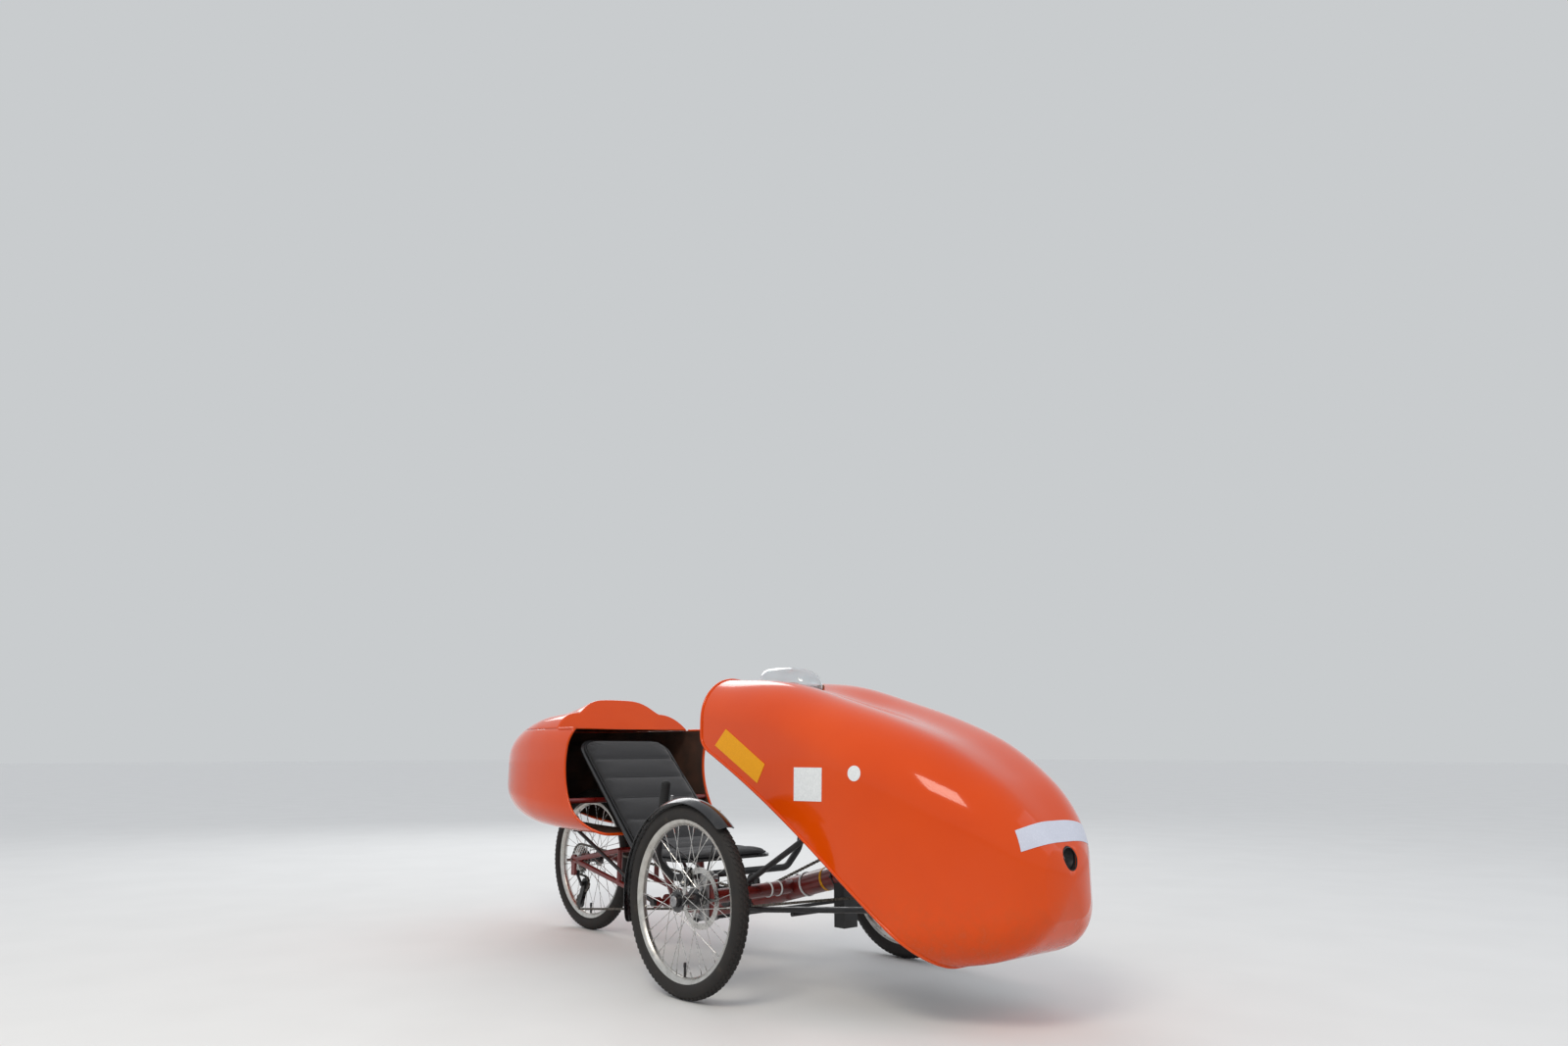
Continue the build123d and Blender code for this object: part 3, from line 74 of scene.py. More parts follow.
def add(tree, kind, links=None, stops=(), **values):
    """One node with its values, its links from input name to output socket, and its colour stops."""
    node = tree.nodes.new(kind)
    for key, value in values.items():
        if hasattr(node, key) and key not in node.inputs:
            setattr(node, key, value)
        else:
            node.inputs[key].default_value = value
    for key, socket in (links or {}).items():
        tree.links.new(socket, node.inputs[key])
    if stops:
        ends = node.color_ramp.elements
        while len(ends) < len(stops):
            ends.new(0.5)
        for element, (position, code) in zip(ends, stops):
            element.position = position
            element.color = srgb(code)
    return node


def limits(*ends):
    """Settings of a clamped range: from low, from high, to low, to high."""
    return dict(zip(("From Min", "From Max", "To Min", "To Max"), ends))


def material(name):
    """A new empty node material with its output, and the Object coordinates."""
    mat = bpy.data.materials.new(name)
    mat.use_nodes = True
    tree = mat.node_tree
    tree.nodes.clear()
    return mat, tree, add(tree, "ShaderNodeOutputMaterial"), add(tree, "ShaderNodeTexCoord").outputs["Object"]


def patterned(name, pattern, colours, rough, relief=(), flat=(), **values):
    """Material drawn from one pattern of (kind, settings).

    rough is one value or the four ends of a range. relief is a pattern, or None for the same one, with its
    strength and distance. flat is (axes kept, shift) for a pattern that runs across one side only.
    """
    mat, tree, out, place = material(name)
    if flat:
        side = add(tree, "ShaderNodeVectorMath", {0: place}, operation="MULTIPLY_ADD")
        side.inputs[1].default_value, side.inputs[2].default_value = flat
        place = side.outputs[0]

    def drawn(style, settings):
        return add(tree, style[0], {"Vector": place}, **settings).outputs[style[1]]

    fac = drawn(*pattern)
    links = {"Base Color": add(tree, "ShaderNodeValToRGB", {"Fac": fac}, colours).outputs["Color"]}
    if isinstance(rough, tuple):
        links["Roughness"] = add(tree, "ShaderNodeMapRange", {"Value": fac},
                **limits(*rough)).outputs["Result"]
    else:
        values["Roughness"] = rough
    if relief:
        height = drawn(*relief[0]) if relief[0] else fac
        bump = add(tree, "ShaderNodeBump", {"Height": height}, Strength=relief[1], Distance=relief[2])
        links["Normal"] = bump.outputs["Normal"]
    shade = add(tree, "ShaderNodeBsdfPrincipled", links, **values)
    tree.links.new(shade.outputs[0], out.inputs["Surface"])
    return mat


# Gelcoat over laminate, moulded and polished: deep gloss orange, faint waves in its sheen, brown specks that
# darken it towards the bottom
gelcoat, t, out, place = material("gelcoat_orange_moulded_polished")
cloud = add(t, "ShaderNodeTexNoise", {"Vector": place}, Scale=2.5, Detail=3.0)
base = add(t, "ShaderNodeValToRGB", {"Fac": cloud.outputs["Fac"]}, ((0.3, "CE4200"), (0.7, "D84A02")))
split = add(t, "ShaderNodeSeparateXYZ", {"Vector": place})
# Brown specks mixed in below about 0.34 m make the shell darker and rougher towards the bottom
low_down = add(t, "ShaderNodeMapRange", {"Value": split.outputs["Z"]}, **limits(0.12, 0.34, 1.0, 0.0))
fine = add(t, "ShaderNodeTexNoise", {"Vector": place}, Scale=38.0, Detail=6.0, Roughness=0.7)
specks = add(t, "ShaderNodeMapRange", {"Value": fine.outputs["Fac"]}, **limits(0.42, 0.75, 0.0, 0.4))
low_brown_specks = add(t, "ShaderNodeMath", {0: low_down.outputs["Result"], 1: specks.outputs["Result"]},
        operation="MULTIPLY")
mix = add(t, "ShaderNodeMix", {"Factor": low_brown_specks.outputs[0], "A": base.outputs["Color"]}, data_type="RGBA",
        B=srgb("86532C"))
wave = add(t, "ShaderNodeTexNoise", {"Vector": place}, Scale=9.0, Detail=1.0)
bump = add(t, "ShaderNodeBump", {"Height": wave.outputs["Fac"]}, Strength=0.05, Distance=0.004)
dulled = add(t, "ShaderNodeMapRange", {"Value": low_brown_specks.outputs[0]}, **limits(0.0, 0.4, 0.14, 0.6))
shade = add(t, "ShaderNodeBsdfPrincipled", {"Base Color": mix.outputs["Result"],
        "Normal": bump.outputs["Normal"], "Roughness": dulled.outputs["Result"]},
        **{"Specular IOR Level": 0.14, "Coat Weight": 0.36, "Coat Roughness": 0.04})
t.links.new(shade.outputs[0], out.inputs["Surface"])

# Inside of the laminate: rough dark brown flow coat with the cloth's grain showing through
flowcoat = patterned("laminate_inside_flowcoat_rolled", (NOISE, dict(Scale=14.0, Detail=4.0)),
        ((0.35, "3A2A22"), (0.7, "55382A")), 0.62, ((NOISE, dict(Scale=260.0, Detail=3.0)), 0.35, 0.0008))

# Powder coat on the steel boom: dark wine red, orange-peel gloss
powder = patterned("steel_tube_powder_coated_wine_red", (NOISE, dict(Scale=30.0, Detail=5.0)),
        ((0.35, "641410"), (0.75, "7A1C15")), (0.3, 0.8, 0.26, 0.42),
        ((CELLS, dict(feature="SMOOTH_F1", Scale=420.0)), 0.12, 0.0006),
        **{"Coat Weight": 0.35, "Coat Roughness": 0.12})

# Tyre rubber, vulcanised in a mould: near black, greyed by fine road dust in the pores
rubber = patterned("tyre_rubber_vulcanised", (NOISE, dict(Scale=24.0, Detail=6.0, Roughness=0.65)),
        ((0.35, "1F1D1C"), (0.62, "2B2826"), (0.8, "474039")), (0.35, 0.8, 0.62, 0.9),
        ((NOISE, dict(Scale=900.0, Detail=3.0)), 0.4, 0.0004), **{"Specular IOR Level": 0.35})

# Rim: extruded aluminium, silver anodised, clouded a little by brake dust
rim_metal = patterned("aluminium_rim_silver_anodised", (NOISE, dict(Scale=60.0, Detail=4.0)),
        ((0.3, "B4B2AC"), (0.75, "CFCDC8")), (0.3, 0.75, 0.26, 0.4), Metallic=1.0)

# Spokes and discs: drawn and ground stainless steel, bright with a soft grain
stainless = patterned("stainless_steel_drawn_and_ground", (NOISE, dict(Scale=150.0, Detail=3.0)),
        ((0.3, "B9B8B5"), (0.75, "D2D1CE")), (0.3, 0.75, 0.2, 0.36), Metallic=1.0)

# Machined and forged aluminium of knuckles and cranks: grey satin with dull smudges
forged = patterned("aluminium_forged_and_machined", (NOISE, dict(Scale=45.0, Detail=5.0)),
        ((0.3, "8B8B8C"), (0.75, "A9A9AA")), (0.3, 0.75, 0.3, 0.48),
        ((NOISE, dict(Scale=700.0, Detail=1.0)), 0.12, 0.0003), Metallic=1.0)

# Hub shells: black anodised aluminium, worn a little grey
anodised = patterned("aluminium_black_anodised_turned", (NOISE, dict(Scale=60.0, Detail=5.0)),
        ((0.35, "141316"), (0.8, "302E30")), (0.35, 0.8, 0.22, 0.45), **{"Specular IOR Level": 0.8})

# Black satin paint on rods, calipers and small fittings, slightly dusty
satin = patterned("steel_fitting_satin_black_painted", (NOISE, dict(Scale=40.0, Detail=6.0)),
        ((0.4, "17171A"), (0.8, "2A2928")), (0.4, 0.8, 0.34, 0.6), (None, 0.08, 0.0008))

# Mudguards: injection-moulded black plastic, glossy, with a faint film of dust
guard_plastic = patterned("mudguard_plastic_gloss_moulded", (NOISE,
        dict(Scale=28.0, Detail=6.0, Roughness=0.6)), ((0.4, "111114"), (0.85, "2C2A29")),
        (0.4, 0.8, 0.14, 0.4), **{"Coat Weight": 0.3, "Coat Roughness": 0.08})

# Hand grips: soft matt rubber with a fine pebble
grip_rubber = patterned("grip_rubber_moulded_pebbled", (CELLS, dict(Scale=650.0)),
        ((0.1, "1C1C1D"), (0.8, "121213")), 0.75, (None, 0.5, 0.0006))

# Pedals, cages and idlers: fibre-filled black plastic, matt, scuffed paler on wear spots
plastic = patterned("fibre_filled_plastic_moulded", (NOISE, dict(Scale=120.0, Detail=5.0)),
        ((0.45, "19191A"), (0.8, "38373A")), 0.55, (None, 0.15, 0.0005))

# Chain: oiled steel, brown-grey, glossy where wet
oiled = patterned("chain_steel_oiled", (NOISE, dict(Scale=90.0, Detail=4.0)),
        ((0.35, "4A453F"), (0.75, "77726B")), (0.35, 0.75, 0.24, 0.5), Metallic=1.0)

# Seat shell: twill laminate under satin resin, 3 mm tows
laminate = patterned("seat_laminate_twill_resin", (WAVES, dict(wave_type="BANDS", bands_direction="DIAGONAL",
        Scale=105.0, Distortion=0.6)), ((0.3, "131314"), (0.7, "29292B")), (0.3, 0.7, 0.3, 0.46),
        **{"Coat Weight": 0.4, "Coat Roughness": 0.15})

# Seat cover: open knitted spacer mesh, black, holes about 3 mm apart with painted shade darkening them
spacer, t, out, place = material("spacer_mesh_knitted_black")
hole = add(t, "ShaderNodeTexVoronoi", {"Vector": place}, Scale=330.0, Randomness=0.25)
yarn = add(t, "ShaderNodeTexNoise", {"Vector": place}, Scale=1400.0, Detail=2.0)
height = add(t, "ShaderNodeMath", {0: hole.outputs["Distance"], 1: yarn.outputs["Fac"]}, operation="MULTIPLY")
bump = add(t, "ShaderNodeBump", {"Height": height.outputs[0]}, Strength=0.7, Distance=0.0012, invert=True)
# Yarn colour, with painted shade making the holes near black
knit_and_hole_shade = add(t, "ShaderNodeValToRGB", {"Fac": hole.outputs["Distance"]}, ((0.12, "060606"), (0.4, "232326")))
shade = add(t, "ShaderNodeBsdfPrincipled", {"Base Color": knit_and_hole_shade.outputs["Color"],
        "Normal": bump.outputs["Normal"]}, Roughness=0.85, **{"Sheen Weight": 0.25, "Sheen Roughness": 0.5})
t.links.new(shade.outputs[0], out.inputs["Surface"])

# Piping and webbing of the seat: tight plain weave, 1 mm ribs
webbing = patterned("seat_piping_woven_tape", (WAVES, dict(Scale=320.0, Distortion=1.0)),
        ((0.3, "1A1A1C"), (0.7, "2F2F33")), 0.8, (None, 0.5, 0.0005))

# Windscreen and lamp lens: clear polycarbonate, free-blown, with light wiping haze
clear = patterned("polycarbonate_clear_blown", (NOISE, dict(Scale=22.0, Detail=5.0)),
        ((0.4, "F2F6F7"), (0.8, "E4EAEC")), (0.4, 0.8, 0.04, 0.2),
        **{"IOR": 1.5, "Transmission Weight": 0.92})

# Rear lamp lens: red acrylic with prisms about 3 mm wide
red_lens = patterned("acrylic_lens_red_prismatic", (CELLS, dict(Scale=300.0, Randomness=0.0)),
        ((0.1, "A00A08"), (0.8, "6E0504")), 0.12, (None, 0.6, 0.001), **{"Coat Weight": 0.6})

# Reflective tapes: glass-bead sheeting with a faint grid of cells, one bright cool white, one amber yellow
BEADS = (CELLS, dict(feature="DISTANCE_TO_EDGE", Scale=240.0, Randomness=0.05))
white_tape = patterned("reflective_tape_white_cut", BEADS, ((0.02, "C6CAD8"), (0.12, "E2E4F0")),
        (0.02, 0.12, 0.5, 0.28), flat=((0, 1, 1), (0.0021, 0, 0)), **{"Coat Weight": 0.3})
yellow_tape = patterned("reflective_tape_yellow_cut", BEADS, ((0.02, "E39A00"), (0.12, "FFB400")),
        (0.02, 0.12, 0.45, 0.25), flat=((1, 0, 1), (0, 0.0021, 0)),
        **{"Specular IOR Level": 0.15, "Coat Weight": 0.15})

# Plain labels and straps: satin white vinyl with a faint mottle
label_face = patterned("label_vinyl_white_satin", (NOISE, dict(Scale=180.0, Detail=3.0)),
        ((0.3, "D6DADB"), (0.75, "E6E9EA")), 0.38)

# Windscreen feet: cast tan rubber, matt
tan_rubber = patterned("rubber_foot_tan_cast", (NOISE, dict(Scale=300.0, Detail=4.0)),
        ((0.3, "7A5637"), (0.75, "956E49")), 0.7, (None, 0.2, 0.0004))

# Floor: pale matt studio vinyl with a faint mottle
paint = patterned("studio_floor_matt_vinyl", (NOISE, dict(Scale=3.0, Detail=2.0)),
        ((0.3, "DDDDDC"), (0.7, "E0E0DF")), 0.85)


# Mesh helpers
def circle(count):
    """Angles evenly round a full turn."""
    return [2 * pi * k / count for k in range(count)]


class Shape:
    """Vertices and faces of one piece, gathered from sweeps, turned profiles and blocks."""

    def __init__(self):
        self.v, self.f = [], []

    def join(self, verts, faces):
        start = len(self.v)
        self.v += [tuple(p) for p in verts]
        self.f += [tuple(i + start for i in face) for face in faces]

    def rows(self, rows, around=True, along=False, cap=False):
        """Quads between equal rows of points; around closes each row, along closes the set."""
        n = len(rows[0])
        faces = []
        for r in range(len(rows) if along else len(rows) - 1):
            for i in range(n if around else n - 1):
                j, q = (i + 1) % n, (r + 1) % len(rows)
                faces.append((r * n + i, r * n + j, q * n + j, q * n + i))
        if cap:
            faces += [tuple(range(n))[::-1], tuple((len(rows) - 1) * n + i for i in range(n))]
        self.join([p for row in rows for p in row], faces)

    def turned(self, profile, centre, axis="Y", steps=48, closed=True):
        """Profile of (radius, along) turned about an axis through centre."""
        rows = []
        for a in circle(steps):
            row = []
            for r, y in profile:
                u, w = r * cos(a), r * sin(a)
                row.append(Vector(centre) + Vector({"Y": (u, y, w), "X": (y, u, w), "Z": (u, w, y)}[axis]))
            rows.append(row)
        self.rows(rows, around=closed, along=True)

    def tube(self, points, radius, sides=12, closed=False, flat=1.0):
        """Round tube along points; radius is one value or one for each point; flat squeezes its height."""
        points = [Vector(p) for p in points]
        n = len(points)
        radii = radius if isinstance(radius, (list, tuple)) else [radius] * n
        rows, side = [], None
        for i, p in enumerate(points):
            before = points[i - 1] if (i or closed) else p
            after = points[(i + 1) % n] if (i < n - 1 or closed) else p
            way = (after - before).normalized()
            if side is None:
                side = way.cross((0, 0, 1) if abs(way.z) < 0.9 else (1, 0, 0)).normalized()
            side = (side - way * side.dot(way)).normalized()
            up = side.cross(way)
            rows.append([p + (side * cos(a) + up * sin(a) * flat) * radii[i] for a in circle(sides)])
        self.rows(rows, around=True, along=closed, cap=not closed)

    def block(self, centre, size, edge=0.001, turn=None):
        """Block with rounded edges, turned by a matrix if given."""
        e = min(edge, *[0.49 * s for s in size])
        bm = bmesh.new()
        bmesh.ops.create_cube(bm, size=1.0)
        for v in bm.verts:
            v.co = Vector([c * s for c, s in zip(v.co, size)])
        bmesh.ops.bevel(bm, geom=bm.edges[:] + bm.verts[:], offset=e, segments=2, affect="EDGES", profile=0.5)
        bm.verts.index_update()
        place = Matrix.Translation(Vector(centre)) @ (turn.to_4x4() if turn else Matrix.Identity(4))
        self.join([place @ v.co for v in bm.verts], [[v.index for v in f.verts] for f in bm.faces])
        bm.free()

    def plate(self, outline, centre, thickness, edge=0.0008):
        """Flat plate from an outline of (x, z) points, thick along Y, with a chamfer on both faces."""
        c = Vector(centre)
        n = len(outline)
        mid = Vector((sum(p[0] for p in outline) / n, sum(p[1] for p in outline) / n))
        rows = []
        for y, inset in ((-thickness / 2, edge), (-thickness / 2 + edge, 0), (thickness / 2 - edge, 0),
                (thickness / 2, edge)):
            row = []
            for x, z in outline:
                away = Vector((x, z)) - mid
                q = Vector((x, z)) - away.normalized() * inset
                row.append(c + Vector((q.x, y, q.y)))
            rows.append(row)
        self.rows(rows, around=True, cap=True)


def placed(name, data):
    """A new object in the scene."""
    obj = bpy.data.objects.new(name, data)
    bpy.context.scene.collection.objects.link(obj)
    return obj


def settle(obj, body, replaces):
    """Lets a piece ride on its body, for the nodes that it replaces."""
    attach(obj, body)
    if replaces:
        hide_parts(*replaces)
    return obj


def finish_mesh(obj, weld=0.00002, angle=35):
    """Merges doubles, turns the normals outwards and shades smooth with sharp edges over the angle."""
    bm = bmesh.new()
    bm.from_mesh(obj.data)
    bmesh.ops.remove_doubles(bm, verts=bm.verts, dist=weld)
    bmesh.ops.recalc_face_normals(bm, faces=bm.faces)
    for edge in bm.edges:
        edge.smooth = not (len(edge.link_faces) == 2 and edge.calc_face_angle(0) > radians(angle))
    for face in bm.faces:
        face.smooth = True
    bm.to_mesh(obj.data)
    bm.free()


def make(name, shape, body, mats, replaces=(), weld=0.00002, angle=35):
    """Turns a shape into a piece that rides on a body."""
    mesh = bpy.data.meshes.new(name)
    mesh.from_pydata(shape.v, [], shape.f)
    for mat in (mats if isinstance(mats, list) else [mats]):
        mesh.materials.append(mat)
    obj = placed(name, mesh)
    finish_mesh(obj, weld, angle)
    return settle(obj, body, replaces)


def bake(obj):
    """Replaces an object's mesh by its evaluated one and drops its modifiers."""
    graph = bpy.context.evaluated_depsgraph_get()
    mesh = bpy.data.meshes.new_from_object(obj.evaluated_get(graph), preserve_all_data_layers=True,
            depsgraph=graph)
    obj.modifiers.clear()
    old = obj.data
    obj.data = mesh
    bpy.data.meshes.remove(old)
    return obj


def cad_finish(node, mat):
    """Gives a carried-over CAD node its material."""
    data = nodes[node].data
    data.materials.clear()
    data.materials.append(mat)


# Repeats: one node tree that sets copies on points, with the turn of each copy stored on its point
def copies_tree():
    tree = bpy.data.node_groups.new("copies_on_points", "GeometryNodeTree")
    tree.is_modifier = True
    for name, kind, io in (("Geometry", "NodeSocketGeometry", "INPUT"), ("Copy", "NodeSocketObject", "INPUT"),
            ("Material", "NodeSocketMaterial", "INPUT"), ("Geometry", "NodeSocketGeometry", "OUTPUT")):
        tree.interface.new_socket(name, in_out=io, socket_type=kind)
    given = add(tree, "NodeGroupInput").outputs
    copy = add(tree, "GeometryNodeObjectInfo", {"Object": given["Copy"]})
    turn = add(tree, "GeometryNodeInputNamedAttribute", data_type="FLOAT_VECTOR", Name="turn")
    turned = add(tree, "FunctionNodeEulerToRotation", {"Euler": turn.outputs["Attribute"]})
    set_on = {"Points": given["Geometry"], "Instance": copy.outputs["Geometry"],
            "Rotation": turned.outputs["Rotation"]}
    on = add(tree, "GeometryNodeInstanceOnPoints", set_on)
    real = add(tree, "GeometryNodeRealizeInstances", {"Geometry": on.outputs["Instances"]})
    faced = {"Geometry": real.outputs["Geometry"], "Material": given["Material"]}
    mat = add(tree, "GeometryNodeSetMaterial", faced)
    add(tree, "NodeGroupOutput", {"Geometry": mat.outputs["Geometry"]})
    return tree


COPIES = copies_tree()


def copies(name, shape, places, body, mat, replaces=(), angle=35):
    """One piece of many copies of a shape. places is a list of (point, Euler turn)."""
    source_mesh = bpy.data.meshes.new(name + "_copy")
    source_mesh.from_pydata(shape.v, [], shape.f)
    source = placed(name + "_copy", source_mesh)
    finish_mesh(source, angle=angle)
    mesh = bpy.data.meshes.new(name)
    mesh.from_pydata([tuple(p) for p, e in places], [], [])
    turn = mesh.attributes.new("turn", "FLOAT_VECTOR", "POINT")
    turn.data.foreach_set("vector", [c for p, e in places for c in e])
    obj = placed(name, mesh)
    modifier = obj.modifiers.new("copies", "NODES")
    modifier.node_group = COPIES
    ids = {s.name: s.identifier for s in COPIES.interface.items_tree if s.in_out == "INPUT"}
    modifier[ids["Copy"]] = source
    modifier[ids["Material"]] = mat
    bake(obj)
    bpy.data.objects.remove(source)
    bpy.data.meshes.remove(source_mesh)
    return settle(obj, body, replaces)


# Fairings
# Section tables as in the frame's source, in mm: x from the front axle, then the values of each section
NOSE = [(-180, 250, 135, 850, 130, 826, 90), (100, 264, 135, 828, 132, 806, 90),
        (300, 274, 133, 776, 134, 758, 90), (480, 277, 132, 722, 130, 712, 92),
        (620, 262, 134, 668, 118, 662, 96), (690, 245, 140, 631, 107, 627, 100),
        (750, 224, 150, 593, 96, 590, 99), (800, 199, 164, 555, 85, 553, 94),
        (842, 171, 184, 511, 73, 509, 82), (876, 135, 213, 464, 57, 463, 65),
        (902, 90, 252, 418, 38, 417.4, 44)]
TAIL = [(-700, 290, 365, 80, 650, 175, 765, 130, 818), (-850, 297, 367, 90, 655, 175, 770, 130, 824),
        (-1000, 296, 371, 95, 655, 175, 770, 130, 824), (-1075, 292, 374, 98, 653, 180, 765, 125, 797),
        (-1150, 285, 378, 100, 650, 180, 758, 118, 777), (-1260, 266, 390, 101, 640, 165, 738, 104, 752),
        (-1350, 240, 405, 98, 626, 146, 715, 90, 727), (-1430, 205, 424, 91, 608, 122, 687, 74, 697),
        (-1495, 164, 446, 79, 590, 95, 659, 57, 667), (-1545, 118, 474, 63, 572, 66, 630, 40, 636),
        (-1580, 62, 508, 36, 558, 33, 597, 21, 600)]


def smooth_row(table, x):
    """Section values at x, on smooth curves through the table's rows."""
    rows = sorted(table)
    i = max(0, min(len(rows) - 2, sum(1 for r in rows if r[0] <= x) - 1))
    a, b = rows[i], rows[i + 1]
    h = b[0] - a[0]
    s = (x - a[0]) / h
    out = []
    for c in range(1, len(a)):
        here = (b[c] - a[c]) / h
        left = (a[c] - rows[i - 1][c]) / (a[0] - rows[i - 1][0]) if i else here
        right = (rows[i + 2][c] - b[c]) / (rows[i + 2][0] - b[0]) if i < len(rows) - 2 else here
        m0, m1 = (left + here) / 2, (here + right) / 2
        out.append((2 * s**3 - 3 * s**2 + 1) * a[c] + (s**3 - 2 * s**2 + s) * h * m0
                + (3 * s**2 - 2 * s**3) * b[c] + (s**3 - s**2) * h * m1)
    return out


def low_corner(half, bottom, corner):
    """Half section from the bottom middle round the lower corner."""
    pts = [((half - corner) * k / 8, bottom) for k in range(8)]
    return pts + [(half - corner + corner * sin(a), bottom + corner - corner * cos(a))
            for a in [k * pi / 20 for k in range(10)]]


def nose_ring(half, bottom, crest, crest_y, valley, lower):
    """Half section of the nose: two knee crests with a valley between them."""
    shoulder = half - crest_y
    pts = low_corner(half, bottom, lower)
    z0, z1 = bottom + lower, crest - shoulder
    pts += [(half, z0 + (z1 - z0) * k / 24) for k in range(24)]
    pts += [(crest_y + shoulder * cos(a), z1 + shoulder * sin(a)) for a in [k * pi / 32 for k in range(16)]]
    return pts + [(crest_y * (1 - k / 12), valley + (crest - valley) * (1 + cos(pi * k / 12)) / 2)
            for k in range(13)]


def tail_ring(half, bottom, lower, side_top, shoulder_y, shoulder_z, head_y, top):
    """Half section of the tail: oval shoulders and the raised headrest between them."""
    pts = low_corner(half, bottom, lower)
    z0 = bottom + lower
    pts += [(half, z0 + (side_top - z0) * k / 12) for k in range(12)]
    rise = shoulder_z - side_top
    pts += [(shoulder_y + (half - shoulder_y) * cos(a), side_top + rise * sin(a))
            for a in [k * pi / 32 for k in range(16)]]
    full = 3.0 + head_y / shoulder_y
    shares = [1 - k / 18 for k in range(19)]
    return pts + [(shoulder_y * t, shoulder_z + (top - shoulder_z) * (1 - t**full) ** 1.5) for t in shares]


class Form:
    """A fairing's whole form as rings of points at close steps, its end rounded off at the tip."""

    def __init__(self, table, section, tip_x, tip_z, step=4, tip_rows=30):
        last = table[-1]
        count = int(abs(last[0] - table[0][0]) / step)
        self.rows = []
        for k in range(count):
            x = table[0][0] + (last[0] - table[0][0]) * k / count
            self.ring(x, section(*smooth_row(table, x)))
        for k in range(tip_rows):
            s = sin(pi / 2 * (1 - k / tip_rows))
            x = last[0] + (tip_x - last[0]) * (1 - s * s)
            self.ring(x, [(y * s, tip_z + (z - tip_z) * s) for y, z in section(*last[1:])])

    def ring(self, x, half):
        both = half + [(-y, z) for y, z in half[-2:0:-1]]
        self.rows.append([Vector((FX + x / 1000, y / 1000, z / 1000)) for y, z in both])

    def cut(self, value, count):
        """Rows of points from where value turns positive on each lengthwise line, on to the tip."""
        top = len(self.rows) - 1.001
        starts = []
        for i in range(len(self.rows[0])):
            worth = [value(row[i]) for row in self.rows]
            k = next(k for k, w in enumerate(worth) if w >= 0)
            starts.append(k - 1 + worth[k - 1] / (worth[k - 1] - worth[k]) if k else 0.0)
        out = []
        for r in range(count + 1):
            places = [u + (top - u) * r / count for u in starts]
            out.append([self.rows[int(u)][i].lerp(self.rows[int(u) + 1][i], u - int(u))
                    for i, u in enumerate(places)])
        return out


def clip(verts, faces, value, held=0):
    """Keeps the side where value is positive. Points near the cut slide onto it, but not the first held."""
    worth = [value(v) for v in verts]
    verts, out, cuts, moves = list(verts), [], {}, {}
    for face in faces:
        for a, b in zip(face, face[1:] + face[:1]):
            if worth[a] * worth[b] < 0:
                s = worth[a] / (worth[a] - worth[b])
                near, far = (a, s) if s < 0.5 else (b, 1 - s)
                if near >= held and far < min(0.36, moves.get(near, (1,))[0]):
                    moves[near] = (far, verts[a].lerp(verts[b], s))
    for i, (far, place) in moves.items():
        verts[i], worth[i] = place, 0
    for face in faces:
        kept = []
        for i, a in enumerate(face):
            b = face[(i + 1) % len(face)]
            if worth[a] >= 0:
                kept.append(a)
            if worth[a] * worth[b] < 0:
                key = (min(a, b), max(a, b))
                if key not in cuts:
                    s = worth[a] / (worth[a] - worth[b])
                    cuts[key] = len(verts)
                    verts.append(verts[a].lerp(verts[b], s))
                kept.append(cuts[key])
        if len(kept) > 2 and max(worth[i] for i in face) > 0:
            out.append(tuple(kept))
    used = sorted({i for f in out for i in f})
    new = {old: k for k, old in enumerate(used)}
    return [verts[i] for i in used], [tuple(new[i] for i in f) for f in out]


def surface(rows):
    """Points and faces of closed rings, closed by a fan at the last one."""
    n = len(rows[0])
    faces = [(r * n + i, r * n + (i + 1) % n, (r + 1) * n + (i + 1) % n, (r + 1) * n + i)
            for r in range(len(rows) - 1) for i in range(n)]
    verts = [p for row in rows for p in row] + [sum(rows[-1], Vector()) / n]
    return verts, faces + [((len(rows) - 1) * n + i, (len(rows) - 1) * n + (i + 1) % n, len(verts) - 1)
            for i in range(n)]


def edge_loops(verts, faces):
    """Open edges of a surface, joined into ordered loops of points."""
    count = {}
    for f in faces:
        for a, b in zip(f, f[1:] + f[:1]):
            count.setdefault((min(a, b), max(a, b)), []).append((a, b))
    nxt = {pairs[0][0]: pairs[0][1] for pairs in count.values() if len(pairs) == 1}
    loops = []
    while nxt:
        start, here = next(iter(nxt.items()))
        loop = [start]
        del nxt[start]
        while here in nxt and here != start:
            loop.append(here)
            here = nxt.pop(here)
        loops.append([verts[i] for i in loop])
    return loops


def runs(loop, keep):
    """Open stretches of a loop whose points are kept."""
    start = next((i for i, p in enumerate(loop) if not keep(p)), 0)
    out = [[]]
    for p in loop[start:] + loop[:start]:
        if keep(p):
            out[-1].append(p)
        elif out[-1]:
            out.append([])
    return [run for run in out if len(run) > 3]


def even(points, step, closed=True):
    """The same line with points one step apart."""
    pts = points + points[:1] if closed else points
    total = sum((b - a).length for a, b in zip(pts, pts[1:]))
    count = max(3, round(total / step))
    out, walked, k = [], 0.0, 0
    for a, b in zip(pts, pts[1:]):
        part = (b - a).length
        while k < count and k * total / count <= walked + part + 1e-9:
            out.append(a.lerp(b, (k * total / count - walked) / part if part else 0))
            k += 1
        walked += part
    if not closed:
        out.append(pts[-1].copy())
    return out


def soften(points, closed=True, rounds=3):
    """Evens out small kinks in a line."""
    n = len(points)
    for r in range(rounds):
        points = [p if not closed and i in (0, n - 1) else (points[i - 1] + p * 2 + points[(i + 1) % n]) / 4
                for i, p in enumerate(points)]
    return points


